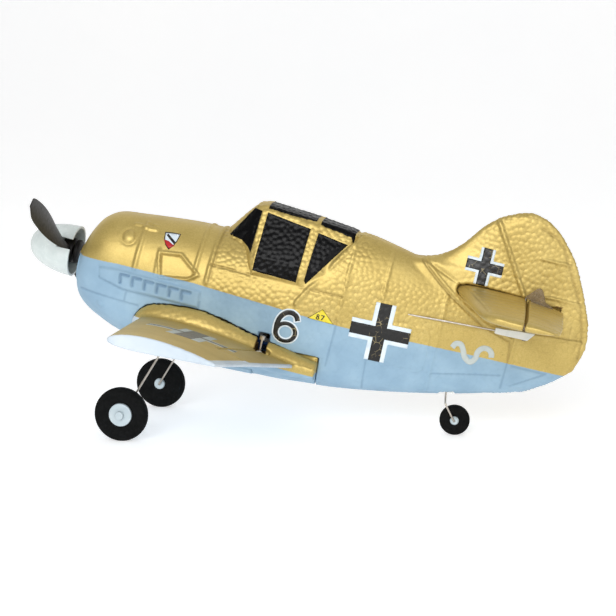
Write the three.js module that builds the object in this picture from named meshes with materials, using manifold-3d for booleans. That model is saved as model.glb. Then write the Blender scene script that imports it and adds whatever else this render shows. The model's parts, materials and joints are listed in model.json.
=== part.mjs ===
// Small foam-bodied radio controlled warbird: throttle, ailerons and elevator.
// Millimetres. The object stands on its three wheels with +Z up, +X aft and +Y to starboard.
// Pieces are drawn in the airframe's own axes: x aft from the spinner's rim along the thrust
// line, y to starboard, z up from the thrust line. One group then tips them to the ground stance.
import * as THREE from 'three';
import { mergeVertices } from 'three/addons/utils/BufferGeometryUtils.js';
import Module from 'manifold-3d';

const wasm = await Module();
wasm.setup();

// Stance
const PITCH = THREE.MathUtils.degToRad(12.6);
const RIM_X = -123.15;
const RIM_Z = 93;
const GAP = 0.3;

// Fuselage stations: [x, top, bottom, half width]
const HULL = [
  [5.6, 6.5, -15.5, 11], [7, 11, -19.4, 15], [9.4, 16.4, -23, 18.4], [13.4, 22.4, -26.4, 21.3],
  [20, 26.6, -30, 23.6], [32, 28.3, -34.7, 24.8], [48, 30, -38.3, 25.2], [64, 31.3, -40.5, 25.4],
  [80, 31.5, -41.6, 25.3], [100, 31.5, -41.2, 24.5], [122, 35, -39.9, 23], [140, 43, -38.3, 20.8],
  [150, 45.8, -37.4, 19.3], [168, 43.2, -34.6, 16.4], [187, 38.5, -31, 13], [208, 31, -26.3, 9.8],
  [228, 25, -20.8, 7], [246, 18, -13.8, 5], [260, 12, -5, 3.6], [268, 9, 2, 2.6],
];
const HULL_POWER = 2.3;
const HULL_WIDEST = 0.46;
const HULL_RING = 28;
const CAVITY_RING = 16;
const WALL = 3.8;
const CAVITY = [9.2, 14, 24, 44, 66, 90, 112, 134, 156, 178];

// Canopy stations: [x, roof, roof half width, sill half width]
const CANOPY = [
  [77, 29.5, 4, 8], [81, 34, 5.5, 10], [87, 42, 7.5, 13.5], [93, 49, 9.3, 18],
  [96.5, 50, 10, 21.5], [99, 50.2, 10, 22.6], [124, 48.6, 10, 22], [144, 46.5, 8.5, 19.6],
  [153, 43.5, 6, 16.5],
];
const SILL = 13;

// Fin and rudder levels: [z, leading edge, trailing edge, half thickness]
const FIN = [
  [-14.4, 229, 246, 2.3], [-11, 224, 251.7, 2.7], [-7.5, 219.5, 257.3, 2.9], [-3, 215, 262.8, 3.1],
  [1.5, 210, 267.3, 3.3], [6, 206, 270.5, 3.5], [10, 203, 272.3, 3.7], [15, 199, 273.6, 3.9],
  [20, 196, 273.4, 4], [28, 190, 271.8, 4.2], [38, 178, 267.6, 4.2], [40.4, 180, 266.5, 4.2],
  [41.4, 184.3, 266, 4.1], [42.6, 187.4, 265.4, 4.1], [44.2, 190, 264.6, 4.1], [47.4, 194.2, 263, 4],
  [52, 198.8, 260.6, 3.9], [57, 202.6, 257.5, 3.8], [62, 206.4, 253.5, 3.6], [66.2, 210.6, 249.5, 3.3],
  [69.8, 215, 245.7, 3], [73.5, 222.5, 239.8, 2.4], [75.4, 228.5, 234.5, 1.2],
];

// Wing: each half runs from ROOT to TIP, measured out from the centre plane
const ROOT = 18;
const TIP = 155;
// Shares of the chord at the root and at the tip
const WING_THICKNESS = [0.08, 0.135];
const WING_CAMBER = [0.012, 0.028];
const WING_STATIONS = [18, 30, 50, 74, 99, 128, 150, 155];
const TRAILING_WIDTH = 1.4;
const FILLET = [
  [43.6, -24.5, 3.5], [45.8, -22.8, 6.2], [49, -21.5, 8.2], [53, -21, 9.6], [60, -20.4, 10.4],
  [70, -19.8, 10.8], [80, -19.6, 10.7], [92, -21, 9.8], [104, -23.2, 8.8], [114, -24.8, 7.9],
  [126, -26.2, 6.6], [136, -27, 5.4], [141.8, -27.4, 4.8],
];
const FILLET_Y = 21;
const SADDLE = [46, 142.2];
const SADDLE_TOP = -20;
const BELLY_PAD_Z = -39.4;

// Ailerons: the hinge line's ends on the port side
const AILERON_IN = [112.6, 33, -22.7];
const AILERON_OUT = [103, 98, -12.9];
const NOSE_BEVEL = Math.tan(THREE.MathUtils.degToRad(27));
const HINGE_GAP = 0.6;
const HORN_SLOT = { x: 112.6, width: 5.6, inner: 12, outer: 32, low: -24.5, high: -13.4 };
const AILERON_HORN_Y = 27.5;
const AILERON_HORN_TOP = -16.2;

// Tailplane
const TAIL_Z = 29.5;
const TAIL_HALF_SPAN = 72.5;
const TAIL_HINGE_X = 238;
const TAIL_THICKNESS = 7.6;
const ELEVATOR_ROOT = 6;
const ELEVATOR_SLOT = { low: 26.9, high: 32.1, front: 239.8, back: 255.9 };
const JOINER = { front: 240.8, back: 244.6, half: 0.8 };
const TAIL_HORN = { inner: -10.3, outer: -11.5, front: 239.4, back: 252, clearance: 0.4 };

// Elevator drive
const ROD_Y = -13.2;
const ROD_FRONT = [141, 9.6];
const ROD_BACK = [241, 15.8];
const ROD_RADIUS = 0.5;
const GUIDE_RADIUS = 1.3;
const SERVO_PIVOT = [141, 1.6];

// Drive train
const SPINNER_RADIUS = 13.7;
const SPINNER_LENGTH = 25.4;
const SPINNER_WALL = 1.2;
const PROP_RADIUS = 76;
const BLADE_ROLL = THREE.MathUtils.degToRad(22.7);
const BLADE_X = -3.8;
// Blade chords: [radius, chord]
const BLADE = [
  [7, 5.4], [15, 5.6], [22, 10], [34, 14], [50, 15.6], [64, 13.6], [73, 8], [PROP_RADIUS, 3.2],
];
const GEAR_MODULE = 0.5;
const SPUR_TEETH = 36;
const PINION_TEETH = 9;
const GEAR_OFFSET = GEAR_MODULE * (SPUR_TEETH + PINION_TEETH) / 2;
const SHAFT_RADIUS = 1;
const SHAFT_BORE = SHAFT_RADIUS + 0.05;

// Landing gear
const WHEEL_X = 51.2;
const WHEEL_Z = -69.6;
const WHEEL_Y = 39.45;
const TYRE_RADIUS = 14;
const TYRE_WIDTH = 6;
const LEG_Y = 34;
const LEG_TOP = [66.2, -27.5];
const TAIL_WHEEL_X = 217.1;
const TAIL_WHEEL_Z = -38.7;
const TAIL_TYRE_RADIUS = 7.95;
const WIRE_RADIUS = 0.5;
const LEAD_RADIUS = 0.8;
const WIRE_TENSION = 0.12;

const FINISH = {
  gold: { color: 0xc8aa5a, roughness: 0.42, metalness: 0.55 },
  blue: { color: 0xa5c8e1, roughness: 0.6, metalness: 0 },
  black: { color: 0x191612, roughness: 0.5, metalness: 0 },
  rubber: { color: 0x101210, roughness: 0.85, metalness: 0 },
  white: { color: 0xe1ebeb, roughness: 0.45, metalness: 0 },
  steel: { color: 0xaaa5a0, roughness: 0.3, metalness: 0.9 },
  brass: { color: 0xb89a4c, roughness: 0.35, metalness: 0.9 },
  clear: { color: 0xa89c7c, roughness: 0.25, metalness: 0 },
  green: { color: 0x2d5c3e, roughness: 0.5, metalness: 0 },
  foil: { color: 0x9aa4b0, roughness: 0.35, metalness: 0.6 },
};

const aircraft = new THREE.Group();
const airframe = new THREE.Group();
airframe.rotation.y = PITCH;
airframe.position.set(RIM_X, 0, RIM_Z);
aircraft.add(airframe);

// ---- Solids -------------------------------------------------------------------------------

function welded(geometry) {
  const bare = geometry.clone();
  bare.deleteAttribute('normal');
  bare.deleteAttribute('uv');
  return mergeVertices(bare, 1e-4);
}

function solid(geometry) {
  const merged = welded(geometry);
  return new wasm.Manifold(new wasm.Mesh({
    numProp: 3,
    vertProperties: new Float32Array(merged.attributes.position.array),
    triVerts: new Uint32Array(merged.index.array),
  }));
}

// The same for a geometry whose faces may point inwards, which are then turned round
function outward(geometry) {
  const body = solid(geometry);
  const flipped = welded(geometry);
  flipped.setIndex(Array.from(flipped.index.array).reverse());
  return body.volume() > 0 ? body : solid(flipped);
}

function geometryOf(body) {
  const mesh = body.getMesh();
  const geometry = new THREE.BufferGeometry();
  geometry.setAttribute('position', new THREE.BufferAttribute(mesh.vertProperties, 3));
  geometry.setIndex(new THREE.BufferAttribute(mesh.triVerts, 1));
  geometry.computeVertexNormals();
  return geometry;
}

function join(...bodies) {
  return bodies.reduce((sum, body) => sum.add(body));
}

function add(name, body, finish) {
  const mesh = new THREE.Mesh(geometryOf(body), new THREE.MeshStandardMaterial(FINISH[finish]));
  mesh.name = name;
  airframe.add(mesh);
}

// A closed skin over rings that all have the same number of points
function loft(rings) {
  const count = rings[0].length;
  const points = rings.flat();
  const index = [];
  for (let r = 0; r + 1 < rings.length; r += 1) {
    for (let k = 0; k < count; k += 1) {
      const a = r * count + k;
      const b = r * count + (k + 1) % count;
      index.push(a, b, a + count, b, b + count, a + count);
    }
  }
  for (const ring of [0, rings.length - 1]) {
    const centre = new THREE.Vector3();
    rings[ring].forEach((point) => centre.addScaledVector(point, 1 / count));
    const hub = points.push(centre) - 1;
    for (let k = 0; k < count; k += 1) {
      const edge = [ring * count + k, ring * count + (k + 1) % count];
      index.push(hub, ...(ring === 0 ? edge.reverse() : edge));
    }
  }
  const geometry = new THREE.BufferGeometry().setFromPoints(points);
  geometry.setIndex(index);
  return outward(geometry);
}

function box(low, high) {
  const size = high.map((value, k) => value - low[k]);
  const geometry = new THREE.BoxGeometry(...size);
  geometry.translate(...high.map((value, k) => (value + low[k]) / 2));
  return solid(geometry);
}

// A cylinder along one axis, from its start to its end on that axis
function rod(axis, start, end, radius, across = [0, 0], sides = 16) {
  const geometry = new THREE.CylinderGeometry(radius, radius, end - start, sides);
  const middle = (start + end) / 2;
  if (axis === 'x') {
    geometry.rotateZ(-Math.PI / 2);
    geometry.translate(middle, across[0], across[1]);
  } else if (axis === 'y') {
    geometry.translate(across[0], middle, across[1]);
  } else {
    geometry.rotateX(Math.PI / 2);
    geometry.translate(across[0], across[1], middle);
  }
  return solid(geometry);
}

// A profile [radius, height] turned about the Y axis, then moved
function turned(profile, sides, x = 0, y = 0, z = 0) {
  const points = profile.map(([radius, height]) => new THREE.Vector2(radius, height));
  const geometry = new THREE.LatheGeometry(points, sides);
  geometry.translate(x, y, z);
  return outward(geometry);
}

// A round wire through a list of points, with its bends rounded
function wire(points, radius, steps) {
  const knots = points.map((p) => new THREE.Vector3(...p));
  const path = new THREE.CatmullRomCurve3(knots, false, 'catmullrom', WIRE_TENSION);
  const section = new THREE.Shape();
  section.absarc(0, 0, radius, 0, Math.PI * 2);
  const geometry = new THREE.ExtrudeGeometry(section, { steps, curveSegments: 3, extrudePath: path });
  return outward(geometry);
}

// An outline in x and z, given thickness from one y to another
function slab(outline, from, to) {
  const shape = new THREE.Shape(outline.map(([x, z]) => new THREE.Vector2(x, z)));
  const geometry = new THREE.ExtrudeGeometry(shape, { depth: to - from, bevelEnabled: false });
  geometry.rotateX(Math.PI / 2);
  geometry.translate(0, to, 0);
  return solid(geometry);
}

function mirrored(body) {
  return body.mirror([0, 1, 0]);
}

// A smooth curve through a table's rows, read at x; column is the value wanted
function read(table, column, x) {
  const last = table.length - 1;
  const k = Math.max(0, Math.min(last - 1, table.findIndex((row) => row[0] >= x) - 1));
  const slope = (n) => {
    const a = table[Math.max(0, n - 1)];
    const b = table[Math.min(last, n + 1)];
    return (b[column] - a[column]) / (b[0] - a[0]);
  };
  const span = table[k + 1][0] - table[k][0];
  const t = (x - table[k][0]) / span;
  const [p, q] = [table[k][column], table[k + 1][column]];
  const [m, n] = [slope(k) * span, slope(k + 1) * span];
  const cubic = (2 * p - 2 * q + m + n) * t ** 3 + (3 * q - 3 * p - 2 * m - n) * t ** 2;
  return cubic + m * t + p;
}

// ---- Foam -----------------------------------------------------------------------------------

function hullRing(x, grow, count = HULL_RING) {
  const top = read(HULL, 1, x) + grow;
  const bottom = read(HULL, 2, x) - grow;
  const half = read(HULL, 3, x) + grow;
  const waist = bottom + (top - bottom) * HULL_WIDEST;
  const ring = [];
  for (let k = 0; k < count; k += 1) {
    const angle = (k / count) * Math.PI * 2;
    const [c, s] = [Math.cos(angle), Math.sin(angle)];
    const y = half * Math.sign(c) * Math.abs(c) ** (2 / HULL_POWER);
    const reach = s > 0 ? top - waist : waist - bottom;
    ring.push(new THREE.Vector3(x, y, waist + reach * Math.sign(s) * Math.abs(s) ** (2 / HULL_POWER)));
  }
  return ring;
}

function canopyRing([x, roof, roofHalf, sillHalf]) {
  const height = roof - SILL;
  const half = [
    [sillHalf, SILL - 7], [sillHalf, SILL], [sillHalf - 1.2, SILL + 0.3 * height],
    [roofHalf + 5, SILL + 0.7 * height], [roofHalf + 1.8, roof - 3.4], [roofHalf, roof - 1],
    [roofHalf * 0.5, roof],
  ];
  const port = half.map(([y, z]) => new THREE.Vector3(x, -y, z)).reverse();
  return [...half.map(([y, z]) => new THREE.Vector3(x, y, z)), ...port];
}

function finRing([z, front, back, half]) {
  const outline = [[0, 0], [0.03, 0.42], [0.1, 0.72], [0.3, 1], [0.6, 0.92], [0.88, 0.5], [0.975, 0.3]];
  const place = (side) => ([f, t]) => new THREE.Vector3(front + (back - front) * f, side * half * t, z);
  const tail = new THREE.Vector3(back, 0, z);
  return [...outline.map(place(1)), tail, ...outline.slice(1).reverse().map(place(-1))];
}

function hullBody(grow = 0) {
  return loft(HULL.map(([x]) => hullRing(x, grow)));
}

function fuselageOutside(grow = 0) {
  return join(hullBody(grow), loft(CANOPY.map(canopyRing)), loft(FIN.map(finRing)));
}

function filletBody(grow) {
  const sides = 14;
  const rings = FILLET.map(([x, z, radius]) => Array.from({ length: sides }, (_, k) => {
    const angle = (k / sides) * Math.PI * 2;
    const r = radius + grow;
    return new THREE.Vector3(x, -FILLET_Y + r * Math.cos(angle), z + r * Math.sin(angle));
  }));
  return loft(rings);
}

// The fuselage's hollow, drawn in by a clearance
function cavityBody(clearance) {
  return loft(CAVITY.map((x) => hullRing(x, -WALL - clearance, CAVITY_RING)));
}

function saddle(shrink) {
  return box([SADDLE[0] + shrink, -60, -60], [SADDLE[1] - shrink, 60, SADDLE_TOP - shrink]);
}

function wingEdges(y) {
  const span = y - 25;
  return {
    front: 47.8 + 0.141 * span,
    back: y < 98 ? 130.6 - 0.153 * (y - 30) : 120.2 - 0.108 * (y - 98),
    frontZ: -21.1 + 0.1285 * span,
    backZ: -26.6 + 0.1738 * span,
  };
}

function wingRing(y) {
  const { front, back, frontZ, backZ } = wingEdges(y);
  const chord = back - front;
  const [thickness, bow] = [WING_THICKNESS, WING_CAMBER].map(
    ([root, tip]) => root + (tip - root) * (y - ROOT) / (TIP - ROOT));
  const steps = 9;
  const upper = [];
  const lower = [];
  for (let k = 0; k <= steps; k += 1) {
    const f = 0.5 - 0.5 * Math.cos((k / steps) * Math.PI);
    const spread = 0.2969 * Math.sqrt(f) - 0.126 * f - 0.3516 * f ** 2 + 0.2843 * f ** 3 - 0.1036 * f ** 4;
    const half = 5 * thickness * chord * spread + f * TRAILING_WIDTH / 2;
    const camber = bow * chord * 4 * f * (1 - f);
    const z = frontZ + (backZ - frontZ) * f + camber;
    upper.push(new THREE.Vector3(front + chord * f, -y, z + half));
    lower.push(new THREE.Vector3(front + chord * f, -y, z - half));
  }
  return [...upper, ...lower.slice(1).reverse()];
}

// The prism that an aileron fills; set back is how far it reaches forward of its bevelled nose
function aileronSpace(setBack, trim) {
  const start = new THREE.Vector3(AILERON_IN[0], -AILERON_IN[1], AILERON_IN[2]);
  const end = new THREE.Vector3(AILERON_OUT[0], -AILERON_OUT[1], AILERON_OUT[2]);
  const along = end.clone().sub(start);
  const length = along.length();
  along.normalize();
  const aft = new THREE.Vector3(1, 0, 0).addScaledVector(along, -along.x).normalize();
  const up = new THREE.Vector3().crossVectors(along, aft).negate();
  const reach = 12;
  const outline = setBack > 0
    ? [[-setBack, -reach], [40, -reach], [40, reach], [-setBack, reach]]
    : [[0, 0], [reach * NOSE_BEVEL, -reach], [40, -reach], [40, reach], [reach * NOSE_BEVEL, reach]];
  const shape = new THREE.Shape(outline.map(([a, b]) => new THREE.Vector2(a, b)));
  const geometry = new THREE.ExtrudeGeometry(shape, { depth: length + 2 * trim, bevelEnabled: false });
  const place = new THREE.Matrix4().makeBasis(aft, up, along.clone().negate());
  place.setPosition(end.clone().addScaledVector(along, trim));
  geometry.applyMatrix4(place);
  return outward(geometry);
}

// The upright slot that an aileron's horn swings in, and the pocket beside it for the torque rod
function hornSlot() {
  const { x, width, inner, outer, low, high } = HORN_SLOT;
  const pocket = box([x - width / 2, -35, low], [x + width, -AILERON_HORN_Y + 1.5, low + 3.6]);
  return join(box([x - width / 2, -outer, low], [x + width / 2, -inner, high]), pocket);
}

// The point of the elevator's pushrod at x
function onRod(x) {
  const [[x0, z0], [x1, z1]] = [ROD_FRONT, ROD_BACK];
  return [x, ROD_Y, z0 + (x - x0) * (z1 - z0) / (x1 - x0)];
}

function makeFuselage() {
  const fillets = join(filletBody(GAP), mirrored(filletBody(GAP)));
  const rodChannel = join(
    wire([onRod(150), onRod(171)], GUIDE_RADIUS + 0.45, 1),
    wire([onRod(170), onRod(199)], ROD_RADIUS + 0.45, 1),
  );
  const { low, high, front, back } = ELEVATOR_SLOT;
  const whole = fuselageOutside()
    .subtract(cavityBody(0))
    .subtract(saddle(0))
    .subtract(fillets)
    .subtract(hornSlot())
    .subtract(mirrored(hornSlot()))
    .subtract(rod('x', 0, 12, 8, [0, -4.5], 20))
    .subtract(rodChannel)
    .subtract(tailBody(GAP))
    .subtract(box([front, -20, low], [back, 20, high]))
    .subtract(box([205.5, -3.4, -60], [213.5, 3.4, -19.7]));
  const port = box([-60, -80, -80], [300, -GAP / 2, 100]);
  add('fuselage_left', whole.intersect(port), 'gold');
  add('fuselage_right', whole.intersect(mirrored(port)), 'gold');
}

function makeWing() {
  const panel = loft(WING_STATIONS.map(wingRing));
  const bellyPad = box([109, -30, -80], [127, 30, BELLY_PAD_Z]);
  const centre = hullBody().intersect(saddle(GAP)).subtract(bellyPad);
  const fuselageSide = hullBody(GAP).subtract(saddle(GAP));
  const battery = box([57, -13.2, -34.4], [128, 13.2, -29.9]);
  const bay = box([57, -15.6, -30], [128, 15.6, -10]);
  const hatchHole = box([61.7, -13.3, -60], [108.3, 13.3, -34]);
  const [legX, legZ] = LEG_TOP;
  const gearPocket = box([legX - 5, -LEG_Y - 5, -60], [legX + 5, -LEG_Y + 5, legZ + 5.2]);
  const half = (body) => body.subtract(aileronSpace(HINGE_GAP, HINGE_GAP)).subtract(gearPocket);
  const port = half(join(panel, filletBody(0)));
  const wing = join(centre, port, mirrored(port))
    .subtract(fuselageSide)
    .subtract(battery)
    .subtract(bay)
    .subtract(hatchHole)
    .subtract(hornSlot())
    .subtract(mirrored(hornSlot()));
  add('wing', wing, 'gold');
  const aileron = panel.intersect(aileronSpace(0, 0));
  add('aileron_left', aileron.subtract(torqueRodBore()), 'gold');
  add('aileron_right', mirrored(aileron.subtract(torqueRodBore())), 'gold');
  const hatch = hullBody().intersect(box([62, -13, -60], [108, 13, -34.7]));
  add('battery_hatch', hatch, 'blue');
}

function hingePoint(y) {
  const t = (y - AILERON_IN[1]) / (AILERON_OUT[1] - AILERON_IN[1]);
  return [0, 1, 2].map((k) => AILERON_IN[k] + t * (AILERON_OUT[k] - AILERON_IN[k]));
}

function torqueRodBore() {
  const place = ([x, y, z]) => [x + 2.6, -y, z];
  return wire([place(hingePoint(30)), place(hingePoint(38)), place(hingePoint(46))], 0.8, 4);
}

function tailRing(y, grow) {
  const out = Math.abs(y) / TAIL_HALF_SPAN;
  const round = Math.sqrt(Math.max(0, 1 - out ** 14));
  const front = 201 + 17 * out + 9 * (1 - round) - grow;
  const back = 257.5 - 2 * out - 5 * (1 - round) + grow;
  const half = (TAIL_THICKNESS / 2) * (1 - 0.16 * out) * (0.25 + 0.75 * round) + grow;
  const outline = [[0, 0], [0.025, 0.5], [0.09, 0.86], [0.25, 1], [0.62, 0.95], [0.9, 0.55], [1, 0.22]];
  const place = (side) => ([f, t]) => (
    new THREE.Vector3(front + (back - front) * f, y, TAIL_Z + side * half * t)
  );
  return [...outline.map(place(1)), ...outline.slice(1).reverse().map(place(-1))];
}

function tailBody(grow) {
  const stations = [0, 6, 30, 55, 66, 70, 72, TAIL_HALF_SPAN];
  const both = [...stations.slice(1).reverse().map((y) => -y), ...stations];
  const body = loft(both.map((y) => tailRing(y, grow)));
  return grow > 0 ? body.intersect(box([150, -80, 0], [TAIL_HINGE_X, 80, 60])) : body;
}

function makeTail() {
  const body = tailBody(0);
  const front = box([150, -80, 0], [TAIL_HINGE_X - HINGE_GAP, 80, 60]);
  add('tailplane', body.intersect(front), 'gold');
  const rise = 8;
  const x = TAIL_HINGE_X;
  const outline = [
    [x, TAIL_Z], [x + rise * NOSE_BEVEL, TAIL_Z - rise], [x + 30, TAIL_Z - rise],
    [x + 30, TAIL_Z + rise], [x + rise * NOSE_BEVEL, TAIL_Z + rise],
  ];
  const inner = ELEVATOR_ROOT;
  const aroundJoiner = join(
    box([100, -inner, 0], [JOINER.front, inner, 60]), box([JOINER.back, -inner, 0], [300, inner, 60]),
    box([100, -inner, 0], [300, inner, TAIL_Z - JOINER.half]),
    box([100, -inner, TAIL_Z + JOINER.half], [300, inner, 60]),
  );
  const elevator = body.intersect(slab(outline, -80, 80))
    .subtract(aroundJoiner)
    .subtract(box(
      [TAIL_HORN.front, TAIL_HORN.outer - TAIL_HORN.clearance, 0],
      [TAIL_HORN.back, TAIL_HORN.inner + TAIL_HORN.clearance, 60],
    ));
  add('elevator', elevator, 'gold');
}

// ---- Elevator drive -----------------------------------------------------------------------

function makeElevatorDrive() {
  const horn = [
    [240, 28], [239.2, 14], [240.4, 12.6], [242, 12.6], [243.4, 14], [248.6, 24.2], [251.4, 25],
    [251.4, 32.4], [247.2, 34.4], [244.6, 39.8], [243, 40.9], [241.6, 40.2], [236.8, 34.9],
    [236.8, 34.3], [239.8, 34.1],
  ];
  const [bx, bz] = ROD_BACK;
  const pinSlot = box([bx - 0.9, -20, bz - 1.9], [bx + 0.9, 0, bz + 1]);
  add('elevator_horn', slab(horn, TAIL_HORN.outer, TAIL_HORN.inner).subtract(pinSlot), 'clear');

  const [x0, z0] = ROD_FRONT;
  const crank = rod('y', ROD_Y, -10, ROD_RADIUS, [x0, z0], 8);
  add('elevator_pushrod', join(wire([onRod(x0), onRod(236)], ROD_RADIUS, 1), crank), 'steel');
  const sleeve = wire([onRod(226), onRod(237.8)], 1.5, 1)
    .subtract(wire([onRod(220), onRod(236.4)], 0.8, 1));
  const pin = rod('y', ROD_Y - 1, -9.8, 0.45, ROD_BACK, 8);
  const fork = box([237, ROD_Y - 0.9, bz - 1.2], [bx + 1.6, ROD_Y + 0.9, bz + 1.2]);
  add('elevator_clevis', join(sleeve, fork, pin), 'white');
  const guide = wire([onRod(160), onRod(170.4)], GUIDE_RADIUS, 1)
    .subtract(wire([onRod(155), onRod(175)], 0.8, 1));
  add('pushrod_guide', guide, 'clear');

  const [px, pz] = SERVO_PIVOT;
  const body = join(
    box([px - 13, -9, pz - 5], [px + 7, 1, pz + 5]),
    box([px - 17, -7.4, pz - 5], [px + 11, -6, pz + 5]),
    rod('y', -9.8, -8.5, 3.6, [px, pz], 16),
  );
  add('elevator_servo', body, 'blue');
  const armTop = pz + 11;
  const armOutline = [
    [px - 2.4, pz - 2], [px + 2.4, pz - 2], [px + 1.6, armTop], [px - 1.6, armTop],
  ];
  const arm = join(slab(armOutline, -11.6, -10.2), rod('y', -11.6, -10.1, 2.8, [px, pz], 12))
    .subtract(box([x0 - 0.8, -13, z0 - 0.8], [x0 + 0.8, -9, z0 + 1.6]));
  add('elevator_servo_arm', arm, 'white');
}

// ---- Aileron drive ------------------------------------------------------------------------

function makeAileronDrive() {
  const [hx, , hz] = hingePoint(AILERON_HORN_Y);
  const place = ([x, y, z]) => [x + 2.6, -y, z];
  const inRod = [place(hingePoint(38)), place(hingePoint(45))];
  const foot = place(hingePoint(29.6));
  const torque = wire([
    [HORN_SLOT.x, -AILERON_HORN_Y, AILERON_HORN_TOP], [HORN_SLOT.x, -AILERON_HORN_Y - 0.1, hz + 1.4],
    [hx + 1.4, -AILERON_HORN_Y - 1.2, hz], foot, ...inRod,
  ], WIRE_RADIUS, 12);
  add('aileron_torque_rod_left', torque, 'steel');
  add('aileron_torque_rod_right', mirrored(torque), 'steel');

  const armX = 97;
  const tipY = 9;
  const linkZ = AILERON_HORN_TOP + 1.2;
  const sleeve = rod('z', linkZ - 1.6, linkZ + 1.2, 1.5, [HORN_SLOT.x, -AILERON_HORN_Y], 10)
    .subtract(rod('z', linkZ - 3, linkZ + 3, 0.9, [HORN_SLOT.x, -AILERON_HORN_Y], 10));
  const bar = wire([
    [armX, -tipY, linkZ + 0.6], [armX + 9, -tipY - 1.6, linkZ + 0.4], [HORN_SLOT.x, -15.5, linkZ],
    [HORN_SLOT.x, -AILERON_HORN_Y + 1, linkZ],
  ], WIRE_RADIUS, 8).subtract(rod('z', linkZ - 3, linkZ + 3, 1.2, [HORN_SLOT.x, -AILERON_HORN_Y], 10));
  const link = join(bar, sleeve);
  add('aileron_link_left', link, 'white');
  add('aileron_link_right', mirrored(link), 'white');

  const arm = join(
    box([armX - 1.6, -tipY - 1.8, linkZ - 1.8], [armX + 1.6, tipY + 1.8, linkZ - 0.4]),
    rod('z', linkZ - 2.4, linkZ - 0.4, 2.6, [armX, 0], 12),
  );
  add('aileron_servo_arm', arm, 'white');
  const servo = join(
    box([armX - 6, -5, -27.4], [armX + 13, 5, -19.4]),
    box([armX - 9.6, -5, -23.4], [armX + 16.6, 5, -22]),
    rod('z', -20, -18, 3.4, [armX, 0], 16),
  );
  add('aileron_servo', servo, 'blue');
}

// ---- Drive train ---------------------------------------------------------------------------

function gear(teeth, bore, x0, x1, z, phase) {
  const pitch = GEAR_MODULE * teeth / 2;
  const outline = [];
  for (let k = 0; k < teeth; k += 1) {
    const step = (Math.PI * 2) / teeth;
    const tooth = (k + phase) * step;
    for (const [offset, radius] of [[-0.3, -0.56], [-0.12, 0.34], [0.12, 0.34], [0.3, -0.56]]) {
      const angle = tooth + offset * step;
      outline.push([(pitch + radius) * Math.cos(angle), (pitch + radius) * Math.sin(angle)]);
    }
  }
  const shape = new THREE.Shape(outline.map(([a, b]) => new THREE.Vector2(a, b)));
  const geometry = new THREE.ExtrudeGeometry(shape, { depth: x1 - x0, bevelEnabled: false });
  geometry.applyMatrix4(new THREE.Matrix4().makeBasis(
    new THREE.Vector3(0, 1, 0), new THREE.Vector3(0, 0, 1), new THREE.Vector3(1, 0, 0)));
  geometry.translate(x0, 0, z);
  return solid(geometry).subtract(rod('x', x0 - 1, x1 + 1, bore, [0, z], 14));
}

function bladeRing(r) {
  const chord = read(BLADE, 1, r);
  const angle = Math.atan(15.5 / Math.max(r, 11));
  const thick = 2.9 * (1 - r / PROP_RADIUS) + 0.9;
  const rake = -2.2 * (r / PROP_RADIUS) ** 2;
  const profile = [
    [0.5, 0], [0.25, 0.42], [-0.1, 0.5], [-0.5, 0.06], [-0.5, -0.06], [-0.1, -0.3], [0.25, -0.28],
  ];
  return profile.map(([c, t]) => {
    const a = c * chord;
    const b = t * thick;
    const x = BLADE_X + rake - a * Math.sin(angle) - b * Math.cos(angle);
    const y = a * Math.cos(angle) - b * Math.sin(angle);
    return new THREE.Vector3(x, y, r);
  });
}

function makePropeller() {
  const blade = loft([4.5, 10, 15, 19, 24, 32, 42, 52, 62, 69, 73.5, 76].map(bladeRing));
  const hub = rod('x', BLADE_X - 2.9, BLADE_X + 2.9, 6.6, [0, 0], 24);
  const roll = 90 + THREE.MathUtils.radToDeg(-BLADE_ROLL);
  const propeller = join(blade, blade.rotate([180, 0, 0]), hub)
    .subtract(rod('x', -20, 10, 2.3, [0, 0], 16));
  add('propeller', propeller.rotate([roll, 0, 0]), 'black');

  const steps = 8;
  const shell = [];
  for (let k = 0; k <= steps; k += 1) {
    const t = (k / steps) * (Math.PI / 2);
    shell.push([SPINNER_RADIUS * Math.cos(t) ** 0.86, SPINNER_LENGTH * Math.sin(t)]);
  }
  const inner = shell.map(([radius, height]) => [
    radius * (1 - SPINNER_WALL / SPINNER_RADIUS), height * (1 - SPINNER_WALL / SPINNER_LENGTH),
  ]);
  const cap = [
    [0, inner[steps][1]], ...inner.slice(0, steps).reverse(),
    ...shell.slice(0, steps), [0, SPINNER_LENGTH],
  ];
  const points = cap.map(([radius, height]) => new THREE.Vector2(radius, height));
  const lathe = new THREE.LatheGeometry(points, 24);
  lathe.rotateZ(Math.PI / 2);
  const body = outward(lathe);
  const slots = box([-7.6, -2.9, -20], [5, 2.9, 20]).rotate([roll, 0, 0]);
  const post = rod('x', -24.7, -12.6, 2.4, [0, 0], 12);
  add('spinner', join(body.subtract(slots), post), 'white');

  const flange = join(rod('x', 0, 2, 6.4, [0, 0], 24), rod('x', -8.6, 1, 2, [0, 0], 16))
    .subtract(rod('x', -10, 5, SHAFT_BORE, [0, 0], 16));
  add('prop_adapter', flange, 'black');
  const nut = rod('x', -11.6, -8.9, 3.6, [0, 0], 6)
    .subtract(rod('x', -13, -5, SHAFT_BORE, [0, 0], 16));
  add('prop_nut', nut, 'steel');
  add('prop_shaft', rod('x', -12.2, 36, SHAFT_RADIUS, [0, 0], 16), 'steel');
  const hubBoss = rod('x', 30, 35, 3, [0, 0], 16)
    .subtract(rod('x', 29, 36, SHAFT_BORE, [0, 0], 16));
  add('spur_gear', join(gear(SPUR_TEETH, SHAFT_BORE, 30, 32.4, 0, 0), hubBoss), 'white');
}

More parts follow.
